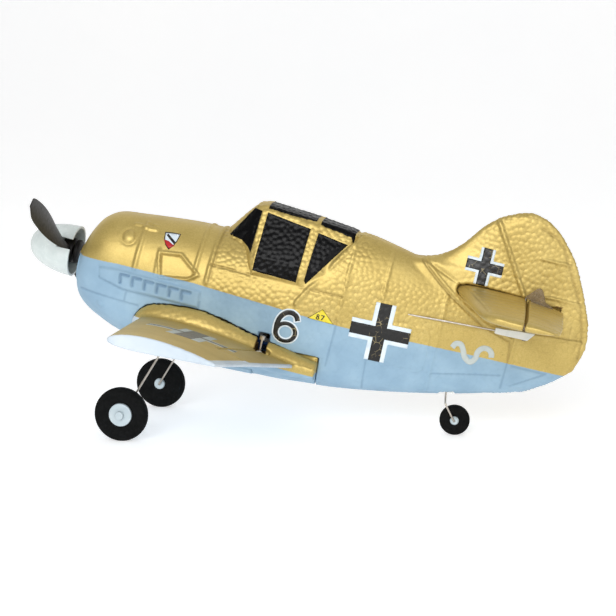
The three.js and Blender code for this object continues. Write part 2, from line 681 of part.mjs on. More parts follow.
function makeGearbox() {
  const z = -GEAR_OFFSET;
  const shell = box([13, -9.4, z - 8.2], [28.4, 9.4, 7.4])
    .subtract(box([15, -7.6, z - 20], [26.6, 7.6, 20]))
    .subtract(rod('x', 5, 40, 3, [0, 0], 16))
    .subtract(rod('x', 5, 20, 6.4, [0, z], 20))
    .subtract(rod('x', 20, 40, 1.6, [0, z], 14));
  add('gearbox_frame', shell, 'black');
  for (const [name, x0, x1] of [['front_bearing', 12.6, 15.4], ['rear_bearing', 26.2, 28.8]]) {
    const bearing = rod('x', x0, x1, 2.7, [0, 0], 20)
      .subtract(rod('x', x0 - 1, x1 + 1, SHAFT_BORE, [0, 0], 16));
    add(name, bearing, 'steel');
  }
  add('motor', rod('x', 9.8, 26.3, 6.1, [0, z], 24), 'foil');
  const rotor = rod('x', 26.7, 30.2, 0.5, [0, z], 10);
  add('motor_pinion', join(rotor, gear(PINION_TEETH, 0.2, 30, 34, z, 0.75)), 'brass');
  const plate = cavityBody(GAP)
    .intersect(box([10.6, -10.8, z - 8], [12.4, 10.8, 10.4]))
    .subtract(rod('x', 5, 20, 6.4, [0, z], 20))
    .subtract(rod('x', 5, 20, 3.4, [0, 0], 16));
  add('nose_plate', plate, 'white');
}

// ---- Electrics ---------------------------------------------------------------------------------

function makeElectrics() {
  add('battery', box([62, -9, -34], [86, 9, -27.2]), 'foil');
  const board = join(
    box([48, -11, -8], [84, 11, -6.8]), box([52, -6, -6.9], [60, 4, -5]),
    box([66, -7, -6.9], [80, -1, -3.4]), box([66, 1, -6.9], [78, 8, -4.6]),
  );
  add('receiver_board', board, 'green');
  const motorLead = [[48, -6, -11.5], [43, -6, -13], [37, -5, -18], [33, -3, -22]];
  const batteryLead = [[82, 6, -11.5], [84, 8, -14], [88, 9.5, -19], [90, 7, -25], [87, 4, -30.6]];
  add('motor_lead', wire(motorLead, LEAD_RADIUS, 12), 'black');
  add('battery_lead', wire(batteryLead, LEAD_RADIUS, 14), 'black');
}

// ---- Landing gear ------------------------------------------------------------------------------

function tyreProfile(radius, width, bore) {
  const half = width / 2;
  const profile = [[bore, -half * 0.8]];
  const steps = 5;
  const crown = Math.min(half, radius - bore - 1.4);
  for (let k = 0; k <= steps; k += 1) {
    const t = -Math.PI / 2 + (k / steps) * Math.PI;
    profile.push([radius - crown + crown * Math.cos(t), half * Math.sin(t)]);
  }
  profile.push([bore, half * 0.8], [bore, -half * 0.8]);
  return profile;
}

function makeWheel(side, sign) {
  const y = sign * WHEEL_Y;
  const at = [WHEEL_X, WHEEL_Z];
  const hubRadius = 6.3;
  const tyre = turned(tyreProfile(TYRE_RADIUS, TYRE_WIDTH, hubRadius), 28, at[0], y, at[1]);
  add(`main_tyre_${side}`, tyre, 'rubber');
  const span = (a, b) => [y + Math.min(sign * a, sign * b), y + Math.max(sign * a, sign * b)];
  const hub = join(
    rod('y', ...span(-2.6, 2.8), hubRadius - GAP, at, 22), rod('y', ...span(-4.1, -2.5), 2.85, at, 14),
    rod('y', ...span(2.7, 3.3), 5, at, 20),
  ).subtract(rod('y', ...span(-6, 6), WIRE_RADIUS + 0.15, at, 8));
  add(`main_hub_${side}`, hub, 'white');
  const cap = rod('y', ...span(3.6, 5.2), 2.2, at, 16)
    .subtract(rod('y', ...span(3, 4.9), WIRE_RADIUS + 0.05, at, 10));
  add(`wheel_cap_${side}`, cap, 'white');
  const [tx, tz] = LEG_TOP;
  const leg = wire([
    [tx, sign * LEG_Y, tz + 4], [tx, sign * LEG_Y, tz], [WHEEL_X + 0.5, sign * LEG_Y, WHEEL_Z + 1.2],
    [WHEEL_X, sign * (LEG_Y + 0.7), WHEEL_Z], [WHEEL_X, sign * (LEG_Y + 4), WHEEL_Z],
    [WHEEL_X, y + sign * 4.6, WHEEL_Z],
  ], WIRE_RADIUS, 20);
  add(`gear_leg_${side}`, leg, 'steel');
  const block = box([tx - 4.7, sign * LEG_Y - 4.7, tz + 0.5], [tx + 4.7, sign * LEG_Y + 4.7, tz + 4.9])
    .subtract(rod('z', -40, -20, WIRE_RADIUS + 0.4, [tx, sign * LEG_Y], 10));
  add(`gear_block_${side}`, block, 'white');
}

function makeTailWheel() {
  const at = [TAIL_WHEEL_X, TAIL_WHEEL_Z];
  const tyre = turned(tyreProfile(TAIL_TYRE_RADIUS, 5, 3.4), 22, at[0], 0, at[1]);
  add('tail_tyre', tyre, 'rubber');
  const hub = join(rod('y', -2.7, 2.7, 3.1, at, 20), rod('y', -3.7, 3.5, 1.7, at, 14));
  add('tail_hub', hub.subtract(rod('y', -6, 6, WIRE_RADIUS + 0.1, at, 10)), 'white');
  const leg = wire([
    [209.5, 0, -22], [209.5, 0, -27], [209.6, -1.4, -29.6], [210.8, -4.3, -31],
    [TAIL_WHEEL_X - 0.4, -4.5, TAIL_WHEEL_Z + 0.8], [TAIL_WHEEL_X, -4, TAIL_WHEEL_Z],
    [TAIL_WHEEL_X, -2, TAIL_WHEEL_Z], [TAIL_WHEEL_X, 4.6, TAIL_WHEEL_Z],
  ], WIRE_RADIUS, 22);
  add('tail_gear_wire', leg, 'steel');
  const block = box([205.8, -3.1, -24.8], [213.2, 3.1, -20])
    .subtract(rod('z', -40, -10, WIRE_RADIUS + 0.3, [209.5, 0], 10));
  add('tail_gear_block', block, 'white');
}

makeFuselage();
makeWing();
makeTail();
makeElevatorDrive();
makeAileronDrive();
makePropeller();
makeGearbox();
makeElectrics();
makeWheel('left', -1);
makeWheel('right', 1);
makeTailWheel();

export default aircraft;
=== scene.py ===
import itertools
import json
import math

import bmesh
import bpy
import numpy as np
from mathutils import Matrix, Vector
from mathutils.bvhtree import BVHTree
from mathutils.geometry import delaunay_2d_cdt
from mathutils.kdtree import KDTree


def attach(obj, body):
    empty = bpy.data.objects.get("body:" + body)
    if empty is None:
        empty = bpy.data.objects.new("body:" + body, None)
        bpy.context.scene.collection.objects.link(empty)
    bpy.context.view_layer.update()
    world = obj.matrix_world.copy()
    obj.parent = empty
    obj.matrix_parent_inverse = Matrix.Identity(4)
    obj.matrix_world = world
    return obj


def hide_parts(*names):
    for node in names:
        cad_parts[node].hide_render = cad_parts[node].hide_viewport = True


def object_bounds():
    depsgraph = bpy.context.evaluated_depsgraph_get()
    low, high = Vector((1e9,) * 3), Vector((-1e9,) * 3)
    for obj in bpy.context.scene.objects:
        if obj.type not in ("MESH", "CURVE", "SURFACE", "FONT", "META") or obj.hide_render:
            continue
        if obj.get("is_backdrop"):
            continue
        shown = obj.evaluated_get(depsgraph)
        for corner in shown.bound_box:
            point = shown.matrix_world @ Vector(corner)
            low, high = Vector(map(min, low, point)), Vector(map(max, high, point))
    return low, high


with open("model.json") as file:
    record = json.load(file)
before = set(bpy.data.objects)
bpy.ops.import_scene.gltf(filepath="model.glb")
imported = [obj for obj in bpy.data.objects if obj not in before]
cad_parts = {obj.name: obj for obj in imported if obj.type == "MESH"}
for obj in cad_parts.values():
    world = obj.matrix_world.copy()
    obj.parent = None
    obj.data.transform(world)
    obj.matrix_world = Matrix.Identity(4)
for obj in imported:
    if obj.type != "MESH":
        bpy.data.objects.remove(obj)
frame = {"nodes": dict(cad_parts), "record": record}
cad_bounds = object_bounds()

# ---- Airframe axes --------------------------------------------------------------------------
# Pieces are drawn in millimetres in the airframe's own axes: x aft from the spinner's rim along
# the thrust line, y to starboard, z up. TO_ROW tips them to the ground stance, in metres.

PITCH = math.radians(12.6)
RIM = Vector((-0.12315, 0, 0.093))
TO_ROW = Matrix.Translation(RIM) @ Matrix.Rotation(PITCH, 4, "Y") @ Matrix.Scale(0.001, 4)
TO_AIR = TO_ROW.inverted()
SIDES = {"left": -1, "right": 1}

# Fuselage stations: x, top, bottom, half width
HULL = [
    [5.6, 6.5, -15.5, 11], [7, 11, -19.4, 15], [9.4, 16.4, -23, 18.4], [13.4, 22.4, -26.4, 21.3],
    [20, 26.6, -30, 23.6], [32, 28.3, -34.7, 24.8], [48, 30, -38.3, 25.2], [64, 31.3, -40.5, 25.4],
    [80, 31.5, -41.6, 25.3], [100, 31.5, -41.2, 24.5], [122, 35, -39.9, 23], [140, 43, -38.3, 20.8],
    [150, 45.8, -37.4, 19.3], [168, 43.2, -34.6, 16.4], [187, 38.5, -31, 13], [208, 31, -26.3, 9.8],
    [228, 25, -20.8, 7], [246, 18, -13.8, 5], [260, 12, -5, 3.6], [268, 9, 2, 2.6],
]
HULL_POWER = 2.3
HULL_WIDEST = 0.46
HULL_END = 268

# Canopy stations: x, roof, roof half width, sill half width
CANOPY = [
    [77, 29.5, 4, 8], [81, 34, 5.5, 10], [87, 42, 7.5, 13.5], [93, 49, 9.3, 18],
    [96.5, 50, 10, 21.5], [99, 50.2, 10, 22.6], [124, 48.6, 10, 22], [144, 46.5, 8.5, 19.6],
    [153, 43.5, 6, 16.5],
]
CANOPY_FRONT, CANOPY_BACK = 76, 154
SILL = 13

# Fin and rudder levels: z, leading edge, trailing edge, half thickness
FIN = [
    [-14.4, 229, 246, 2.3], [-11, 224, 251.7, 2.7], [-7.5, 219.5, 257.3, 2.9], [-3, 215, 262.8, 3.1],
    [1.5, 210, 267.3, 3.3], [6, 206, 270.5, 3.5], [10, 203, 272.3, 3.7], [15, 199, 273.6, 3.9],
    [20, 196, 273.4, 4], [28, 190, 271.8, 4.2], [38, 178, 267.6, 4.2], [40.4, 180, 266.5, 4.2],
    [41.4, 184.3, 266, 4.1], [42.6, 187.4, 265.4, 4.1], [44.2, 190, 264.6, 4.1], [47.4, 194.2, 263, 4],
    [52, 198.8, 260.6, 3.9], [57, 202.6, 257.5, 3.8], [62, 206.4, 253.5, 3.6], [66.2, 210.6, 249.5, 3.3],
    [69.8, 215, 245.7, 3], [73.5, 222.5, 239.8, 2.4], [75.4, 228.5, 234.5, 1.2],
]
FIN_FOOT, FIN_TOP = -12, 75.4
FIN_BLEND = 9
# Half thickness along the chord, as shares
FIN_PROFILE = [
    [0, 0], [0.03, 0.42], [0.1, 0.72], [0.3, 1], [0.6, 0.92], [0.88, 0.5], [0.975, 0.3], [1, 0.1],
]
TAIL_PROFILE = [[0, 0], [0.025, 0.5], [0.09, 0.86], [0.25, 1], [0.62, 0.95], [0.9, 0.55], [1, 0.22]]
TAIL_Z = 29.5
TAIL_HALF_SPAN = 72.5
TAIL_THICKNESS = 7.6
# Shares of the chord at the root and at the tip
WING_THICKNESS = (0.08, 0.135)
WING_CAMBER = (0.012, 0.028)
TRAILING_WIDTH = 1.4
ROOT, TIP = 18, 155
# Fillets along the wing's root: x, z, radius
FILLET = [
    [43.6, -24.5, 3.5], [45.8, -22.8, 6.2], [49, -21.5, 8.2], [53, -21, 9.6], [60, -20.4, 10.4],
    [70, -19.8, 10.8], [80, -19.6, 10.7], [92, -21, 9.8], [104, -23.2, 8.8], [114, -24.8, 7.9],
    [126, -26.2, 6.6], [136, -27, 5.4], [141.8, -27.4, 4.8],
]
FILLET_Y = 21
# A distance for points that a shape has nothing to do with
FAR = 99.0


def curve(table, column):
    """Reads a table's column at any first-column values, smoothly."""
    rows = np.array(table, float)
    x, y = rows[:, 0], rows[:, column]
    slope = np.empty(len(x))
    slope[1:-1] = (y[2:] - y[:-2]) / (x[2:] - x[:-2])
    slope[0] = (y[1] - y[0]) / (x[1] - x[0])
    slope[-1] = (y[-1] - y[-2]) / (x[-1] - x[-2])

    def read(at):
        k = np.clip(np.searchsorted(x, at) - 1, 0, len(x) - 2)
        span = x[k + 1] - x[k]
        t = np.clip((at - x[k]) / span, 0, 1)
        m, n = slope[k] * span, slope[k + 1] * span
        cubic = (2 * y[k] - 2 * y[k + 1] + m + n) * t ** 3
        return cubic + (3 * y[k + 1] - 3 * y[k] - 2 * m - n) * t ** 2 + m * t + y[k]

    return read


def step(low, high, value):
    t = np.clip((value - low) / (high - low), 0, 1)
    return t * t * (3 - 2 * t)


hull_top, hull_bottom, hull_half = (curve(HULL, k) for k in (1, 2, 3))
roof, roof_half, sill_half = (curve(CANOPY, k) for k in (1, 2, 3))
fin_front, fin_back, fin_half = (curve(FIN, k) for k in (1, 2, 3))
fin_profile, tail_profile = curve(FIN_PROFILE, 1), curve(TAIL_PROFILE, 1)
fillet_z, fillet_radius = curve(FILLET, 1), curve(FILLET, 2)


def hull_shape(p):
    x, y, z = p.T
    top, bottom, half = hull_top(x), hull_bottom(x), hull_half(x)
    waist = bottom + (top - bottom) * HULL_WIDEST
    reach = np.where(z > waist, top - waist, waist - bottom)
    radius = (np.abs(y / half) ** HULL_POWER + np.abs((z - waist) / reach) ** HULL_POWER) ** (1 / HULL_POWER)
    return np.maximum((radius - 1) * np.minimum(half, reach), x - HULL_END)


def canopy_shape(p):
    x, y, z = p.T
    height = roof(x) - SILL
    levels = [SILL - 7 + 0 * x, SILL + 0 * x, SILL + 0.3 * height, SILL + 0.7 * height,
              roof(x) - 3.4, roof(x) - 1, roof(x)]
    halves = [sill_half(x), sill_half(x), sill_half(x) - 1.2, roof_half(x) + 5,
              roof_half(x) + 1.8, roof_half(x), roof_half(x) * 0.5]
    half = halves[0]
    for k in range(6):
        t = np.clip((z - levels[k]) / (levels[k + 1] - levels[k]), 0, 1)
        half = np.where(z >= levels[k], halves[k] + t * (halves[k + 1] - halves[k]), half)
    inside = np.maximum(np.abs(y) - half, z - roof(x))
    return np.where((x > CANOPY_FRONT) & (x < CANOPY_BACK) & (z > SILL - 7), inside, FAR)


def fin_shape(p):
    x, y, z = p.T
    front, back = fin_front(z), fin_back(z)
    f = (x - front) / (back - front)
    beyond = np.maximum(np.maximum(front - x, x - back), np.maximum(z - FIN_TOP, FIN_FOOT - z))
    return np.abs(y) - fin_half(z) * fin_profile(f) + np.maximum(beyond, 0)


def blended(a, b, reach):
    """The smooth union of two shapes, and how far it stands off their sharp union."""
    h = np.clip(0.5 + 0.5 * (b - a) / reach, 0, 1)
    lift = reach * h * (1 - h)
    return b + (a - b) * h - lift, lift


def fuselage_shape(p):
    return blended(hull_shape(p), fin_shape(p), FIN_BLEND)


def wing_lines(y):
    span = y - 25
    back = np.where(y < 98, 130.6 - 0.153 * (y - 30), 120.2 - 0.108 * (y - 98))
    return 47.8 + 0.141 * span, back, -21.1 + 0.1285 * span, -26.6 + 0.1738 * span


def wing_section(p):
    """Chord fraction, mid height and half thickness of the wing at each point."""
    x, y, _ = p.T
    front, back, front_z, back_z = wing_lines(np.abs(y))
    chord = back - front
    f = np.clip((x - front) / chord, 0, 1)
    spread = 0.2969 * np.sqrt(f) - 0.126 * f - 0.3516 * f ** 2 + 0.2843 * f ** 3 - 0.1036 * f ** 4
    out = np.clip((np.abs(y) - ROOT) / (TIP - ROOT), 0, 1)
    thickness, camber = (root + (tip - root) * out for root, tip in (WING_THICKNESS, WING_CAMBER))
    half = 5 * thickness * chord * spread + f * TRAILING_WIDTH / 2
    middle = front_z + (back_z - front_z) * f + camber * chord * 4 * f * (1 - f)
    return (x - front) / chord, middle, half


def fillet_shape(p):
    x, y, z = p.T
    return np.hypot(np.abs(y) - FILLET_Y, z - fillet_z(x)) - fillet_radius(x)


def wing_shape(p):
    x, y, z = p.T
    _, middle, half = wing_section(p)
    sheet = np.abs(z - middle) - half
    fillet = np.where((x > FILLET[0][0]) & (x < FILLET[-1][0]), fillet_shape(p), FAR)
    return blended(np.where(np.abs(y) > ROOT, sheet, FAR), fillet, 1.4)


def tail_shape(p):
    x, y, z = p.T
    out = np.abs(y) / TAIL_HALF_SPAN
    rounding = np.sqrt(np.maximum(0, 1 - np.minimum(out, 1) ** 14))
    front = 201 + 17 * out + 9 * (1 - rounding)
    back = 257.5 - 2 * out - 5 * (1 - rounding)
    half = TAIL_THICKNESS / 2 * (1 - 0.16 * out) * (0.25 + 0.75 * rounding)
    f = (x - front) / (back - front)
    return np.abs(z - TAIL_Z) - half * tail_profile(f), 0 * x


# ---- Foam pieces ----------------------------------------------------------------------------


def linked(name, mesh):
    obj = bpy.data.objects.new(name, mesh)
    bpy.context.scene.collection.objects.link(obj)
    return obj


def from_work(name, work):
    mesh = bpy.data.meshes.new(name)
    work.to_mesh(mesh)
    work.free()
    return linked(name, mesh)


def evaluated(obj):
    mesh = bpy.data.meshes.new_from_object(obj.evaluated_get(bpy.context.evaluated_depsgraph_get()))
    old = obj.data
    obj.modifiers.clear()
    obj.data = mesh
    bpy.data.meshes.remove(old)
    return obj


def remeshed(node, name, voxel):
    """A copy of a CAD node in airframe millimetres, as an even quad skin."""
    mesh = frame["nodes"][node].data.copy()
    mesh.transform(TO_AIR)
    work = bmesh.new()
    work.from_mesh(mesh)
    bmesh.ops.remove_doubles(work, verts=work.verts, dist=1e-3)
    work.to_mesh(mesh)
    work.free()
    mesh.materials.clear()
    obj = linked(name, mesh)
    voxels = obj.modifiers.new("Voxels", "REMESH")
    voxels.mode = "VOXEL"
    voxels.voxel_size = voxel
    voxels.use_smooth_shade = True
    return evaluated(obj)


def points_of(obj):
    co = np.empty(len(obj.data.vertices) * 3)
    obj.data.vertices.foreach_get("co", co)
    return co.reshape(-1, 3)


def normals_of(obj):
    normals = np.empty(len(obj.data.vertices) * 3, np.float32)
    obj.data.vertex_normals.foreach_get("vector", normals)
    return normals.reshape(-1, 3).astype(float)


def put_points(obj, co):
    obj.data.vertices.foreach_set("co", co.astype(np.float32).ravel())
    obj.data.update()


def gradient(shape, p, reach=0.05):
    parts = []
    for k in range(3):
        offset = np.zeros(3)
        offset[k] = reach
        parts.append((shape(p + offset)[0] - shape(p - offset)[0]) / (2 * reach))
    return np.stack(parts, 1)


def fair(obj, shape):
    """Moves the outer skin onto the smooth shape, leaving inner faces and cut edges alone."""
    co, normals = points_of(obj), normals_of(obj)
    depth, lift = shape(co)
    slope = gradient(shape, co)
    size = np.linalg.norm(slope, axis=1) + 1e-9
    facing = (normals * slope).sum(1) / size
    weight = step(0.3, 0.7, facing) * step(1.5, 0.8, np.abs(depth / size) - lift * 1.2)
    moved = co.copy()
    for _ in range(6):
        depth, _ = shape(moved)
        slope = gradient(shape, moved)
        steep = np.maximum((slope ** 2).sum(1), 0.3)
        moved -= np.clip(depth / steep, -0.8, 0.8)[:, None] * slope
    put_points(obj, co + (moved - co) * weight[:, None])


def relaxed(obj, rounds, keep=0.0):
    """Evens out the voxel grid's steps; keep is 1 where a point stays put."""
    co = points_of(obj)
    edges = np.empty(len(obj.data.edges) * 2, np.int64)
    obj.data.edges.foreach_get("vertices", edges)
    edges = edges.reshape(-1, 2)
    count = np.bincount(edges.ravel(), minlength=len(co))[:, None]
    for turn in range(rounds * 2):
        total = np.zeros_like(co)
        for k in range(3):
            total[:, k] += np.bincount(edges[:, 0], co[edges[:, 1], k], len(co))
            total[:, k] += np.bincount(edges[:, 1], co[edges[:, 0], k], len(co))
        share = 0.5 if turn % 2 == 0 else -0.52
        co += (total / count - co) * share * (1 - np.asarray(keep))[..., None]
    put_points(obj, co)


def polyline_distance(flat, points):
    best = np.full(len(flat), 1e9)
    for a, b in zip(points, points[1:]):
        a, b = np.array(a, float), np.array(b, float)
        along = b - a
        t = np.clip(((flat - a) @ along) / max(along @ along, 1e-9), 0, 1)
        best = np.minimum(best, np.linalg.norm(flat - a - t[:, None] * along, axis=1))
    return best


def inside(flat, outline):
    """Whether each flat point is in a closed outline."""
    result = np.zeros(len(flat), bool)
    x, y = flat.T
    for (ax, ay), (bx, by) in zip(outline, outline[1:] + outline[:1]):
        if ay == by:
            continue
        crosses = (ay > y) != (by > y)
        result ^= crosses & (x < (bx - ax) * (y - ay) / (by - ay) + ax)
    return result


def signed(flat, outline):
    """Distance into a closed outline, negative outside it."""
    distance = polyline_distance(flat, list(outline) + [outline[0]])
    return np.where(inside(flat, list(outline)), distance, -distance)


# Millimetres between beads, and how far they stand on the wing and tail
BEAD_SPACING, BEAD_HEIGHT = 2.7, 0.05
CELLS_AROUND = list(itertools.product((-1, 0, 1), repeat=3))


def beads(co, wanted, spacing, seed):
    """Height from 0 to 1 of the foam's moulded beads at each point of a skin."""
    rng = np.random.default_rng(seed)
    chosen = []
    cells = {}
    for k in rng.permutation(np.nonzero(wanted)[0]):
        p = co[k]
        key = [int(v // spacing) for v in p]
        reach = spacing * (0.72 + 0.5 * rng.random())
        around = (q for dx, dy, dz in CELLS_AROUND
                  for q in cells.get((key[0] + dx, key[1] + dy, key[2] + dz), ()))
        if not any((p[0] - q[0]) ** 2 + (p[1] - q[1]) ** 2 + (p[2] - q[2]) ** 2 < reach * reach
                   for q in around):
            cells.setdefault(tuple(key), []).append(tuple(p))
            chosen.append(tuple(p))
    # A last, far point stands in for the second bead where a skin has room for only one
    tree = KDTree(len(chosen) + 1)
    for k, p in enumerate(chosen + [(0, 0, 1e4)]):
        tree.insert(p, k)
    tree.balance()
    height = np.zeros(len(co))
    for k in np.nonzero(wanted)[0]:
        (_, _, near), (_, _, far) = tree.find_n(co[k], 2)
        dome = max(0.0, 1 - (near / (0.78 * spacing)) ** 2)
        height[k] = 0.5 * dome + 0.5 * min(1.0, (far - near) / (0.5 * spacing))
    return height


def grown(lines, flat, width, height):
    """A raised or sunk line's height at each flat point."""
    return height * step(width, 0.35 * width, polyline_distance(flat, lines))


# Fuselage side details, in x and z: line, half width, height
RINGS = [
    [[[39, 25.6], [39, 2.6]], 1.5, 0.7], [[[70.3, 34], [70.3, 6]], 1.3, 0.65],
    [[[77.3, 34], [77.3, 5]], 1.4, 0.75],
]
RIDGES = [
    [[[37.8, 23.7], [44.2, 24.1]], 1.3, 0.8], [[[32.6, 24.2], [35.8, 24.4]], 0.9, 0.5],
    [[[41.8, 25.8], [44.6, 25.9]], 0.7, 0.4],
    [[[50, 14.1], [61.2, 15.6], [72.5, 7.7], [67.5, 4.2], [53, 1.8], [50, 14.1]], 1.0, 0.9],
    [[[49.6, 15.2], [50.6, 2.2]], 1.2, 0.5],
    [[[151, 47.5], [129.2, 13.6], [124.7, 5.3]], 1.6, 0.9],
    [[[147.3, 40], [147.2, 2]], 1.1, 0.45], [[[167, 44], [167, 17]], 1.1, 0.5],
    [[[198.6, 25.7], [198.8, -26]], 1.2, 0.5],
    [[[215.5, 67.4], [225.5, 51.5], [235.8, 34.4]], 1.5, 1.0], [[[237.2, 13], [237, -1]], 1.2, 0.7],
    [[[240.5, 54.4], [254.8, 54.4]], 1.1, 0.8], [[[246.7, 36], [264.8, 36]], 1.1, 0.8],
    [[[246, 15.9], [270, 16.9]], 1.1, 0.8],
    [[[173, -16.2], [191.5, -16.8], [194.2, -15], [194.9, -12], [194.4, 3.5], [192.6, 6], [189.5, 6.3],
      [176, 5.3]], 0.8, 0.35],
    [[[183.4, 40.6], [191.4, 34.2], [201.2, 26.9], [219, 16.4], [234.8, 11]], 1.0, 0.4],
]
GROOVES = [
    [[[77, 14.3], [99.3, 13.9], [127.5, 13.9], [147, 13.5]], 0.8, -0.4],
    [[[11.4, -14.8], [44.6, -15.5]], 0.8, -0.35], [[[37.2, -8.9], [37, -14.5]], 0.7, -0.3],
    [[[147.2, 1], [146, -24]], 0.7, -0.25], [[[165.7, -16], [166.2, -33]], 0.7, -0.25],
    [[[182, 40.2], [190.7, 33], [200.4, 25.6], [218.5, 15.1], [234.4, 9.8]], 0.8, -0.4],
    [[[234.8, 9.8], [236, -0.3], [235.7, -15.5]], 0.7, -0.3],
    [[[199.6, -15.8], [234.1, -8.6]], 0.7, -0.25],
    [[[240.2, -13], [256.3, -2.6], [238.3, -2.4]], 0.7, -0.25],
    [[[237, 69.5], [245, 66.5], [250.7, 61.5], [257.2, 48.6], [265.7, 34.2], [270.2, 17.5], [270.3, 9]],
     0.8, -0.4],
    [[[78.6, 34], [78.6, 6]], 0.7, -0.3],
]
EXHAUST = [[20.5, -0.4], [22, -5.6], [35.2, -8.6], [76, -8.6], [76, 0.2], [30, 0.6]]
SCOOP = [[50, 14.1], [61.2, 15.6], [72.5, 7.7], [67.5, 4.2], [53, 1.8]]
NOTCHES = [
    [[front + 4.4, top], [front, top], [front + 0.5, top - 4.4]]
    for front, top in ((32.9, -1.3), (39.5, -1.47), (46.2, -1.64), (53, -1.81), (59.7, -1.98), (66.3, -2.15))
]
WINDOWS = {
    "windshield": [[81.5, 30], [91.9, 46.6], [96.2, 46.1], [95.8, 24.8], [92.8, 27.3], [88.5, 29.3]],
    "window": [[99.2, 46.1], [122.8, 43], [122.3, 15.6], [99.1, 16.5]],
    "quarter": [[127.2, 42], [143.1, 39.3], [127.2, 15.8], [126.2, 17.4]],
}
ROOF_WINDOWS = {"roof_front": [99, 124.8], "roof_rear": [127.2, 145.6]}
NOZZLE_MARKS = [
    [111.8, -5], [133.5, -11.5], [192.2, 22.7], [229.2, 67.2], [253, 44.6], [263.4, 24.1], [256.6, 6.2],
    [243.4, -6.3], [212.6, -19.9], [206.7, 8.5], [206.4, 51], [45.3, 10],
]


def paint_border(x):
    return np.interp(x, [2, 9, 30, 70, 112, 150, 270], [1, 2, 3.3, 3.2, 1, -1.5, -1.5])


def fuselage_details(co):
    flat = co[:, [0, 2]]
    x, y, z = co.T
    side = np.minimum(step(3, 6, np.abs(y)) + (x > 185), 1)
    height = np.zeros(len(co))
    for lines, width, rise in RINGS:
        height += grown(lines, flat, width, rise)
    for lines, width, rise in RIDGES + GROOVES:
        height += grown(lines, flat, width, rise) * side
    # Front cowl's bump, the exhaust fairing with its stubs, and the hollow scoop
    bump = np.linalg.norm(flat - [31.9, 17.8], axis=1)
    height += 1.5 * np.sqrt(np.maximum(0, 1 - (bump / 3.3) ** 2)) - 0.3 * np.exp(-((bump - 3.9) / 0.6) ** 2)
    low_bump = np.linalg.norm(flat - [23.9, -19.7], axis=1)
    height += 0.7 * np.sqrt(np.maximum(0, 1 - (low_bump / 2.2) ** 2))
    height += 1.3 * step(-0.4, 0.8, signed(flat, EXHAUST))
    height -= 1.0 * step(0.2, 1.2, signed(flat, SCOOP))
    for notch in NOTCHES:
        height += grown(notch, flat, 0.95, -1.3) * side
    # Windows lie a little deeper than their frames
    for outline in WINDOWS.values():
        height -= 0.45 * step(-0.1, 0.5, signed(flat, outline)) * side
    for front, back in ROOF_WINDOWS.values():
        pane = (x > front) & (x < back) & (z > 40) & (np.abs(y) < roof_half(x) + 1)
        height -= 0.3 * pane * step(0, 0.6, np.minimum(x - front, back - x))
    for mark in NOZZLE_MARKS:
        for k in range(7):
            turn = k * math.pi / 3
            spot = np.array(mark) + (0 if k == 6 else 1.3) * np.array([math.cos(turn), math.sin(turn)])
            height -= 0.3 * np.exp(-(np.linalg.norm(flat - spot, axis=1) / 0.4) ** 2) * side
    return height


def fuselage_shade(co):
    """Where the moulding's notches and grooves hold shadow, from 0 to 1."""
    flat = co[:, [0, 2]]
    shade = np.zeros(len(co))
    for notch in NOTCHES:
        shade = np.maximum(shade, grown(notch, flat, 0.9, 0.9))
    for lines, width, _ in GROOVES:
        shade = np.maximum(shade, grown(lines, flat, width, 0.55))
    # Painted shadow along the exhaust fairing's lower edge.
    shade = np.maximum(shade, 0.6 * step(0.9, 0.2, np.abs(signed(flat, EXHAUST) + 0.5)) * (flat[:, 1] < -5))
    return shade * step(3, 6, np.abs(co[:, 1]) + 6 * (co[:, 0] > 185))


def slot_shade(co):
    """Painted shade in the insides of the aileron and elevator slots."""
    x, y, z = co.T
    aileron = (np.abs(x - 112.6) < 3.2) & (np.abs(y) > 11.5) & (np.abs(y) < 32.5) & (z > -25) & (z < -12.8)
    elevator = (x > 239.2) & (x < 256.4) & (np.abs(y) < 3) & (z > 26.4) & (z < 32.6)
    return 1.6 * (aileron | elevator)


def bead_strength(co):
    x, _, z = co.T
    gold = step(-1, 1, z - paint_border(x))
    tail = step(200, 215, x)
    strong = step(74, 80, x) * (1 - 0.75 * step(152, 160, x) * step(26, 34, z) * (1 - tail))
    smooth_shoulder = 1 - 0.7 * step(160, 172, x) * (1 - step(200, 214, x)) * step(24, 30, z)
    low = 1 - 0.7 * step(185, 200, x) * (1 - step(12, 22, z))
    return 0.04 + 0.3 * gold * strong * smooth_shoulder * low + 0.06 * (1 - gold) * step(70, 90, x)


def store(obj, name, values):
    attribute = obj.data.attributes.new(name, "FLOAT", "POINT")
    attribute.data.foreach_set("value", np.asarray(values, np.float32))


def displaced(obj, height, normals=None):
    normals = normals_of(obj) if normals is None else normals
    put_points(obj, points_of(obj) + normals * np.asarray(height)[:, None])


def placed(obj, body, slot, *nodes, look=None):
    """Tips a finished piece into the row frame and gives it to a body."""
    obj.data.transform(TO_ROW)
    obj.data.materials.clear()
    obj.data.materials.append(look or MATERIALS[slot])
    obj.data.shade_smooth()
    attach(obj, body)
    if nodes:
        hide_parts(*nodes)
    return obj


def skin_tree(obj):
    return BVHTree.FromObject(obj, bpy.context.evaluated_depsgraph_get())


def covered(flat, shapes, holes):
    """Whether each flat point is in one of the shapes and in none of the holes."""
    result = np.zeros(len(flat), bool)
    for outline in shapes:
        result |= inside(flat, outline)
    for outline in holes:
        result &= ~inside(flat, outline)
    return result


def loop(outline, spacing):
    """A closed outline with points added along its straight runs."""
    result = []
    for a, b in zip(outline, outline[1:] + outline[:1]):
        a, b = Vector(a[:2]), Vector(b[:2])
        count = max(1, round((b - a).length / spacing))
        result += [a.lerp(b, k / count) for k in range(count)]
    return result


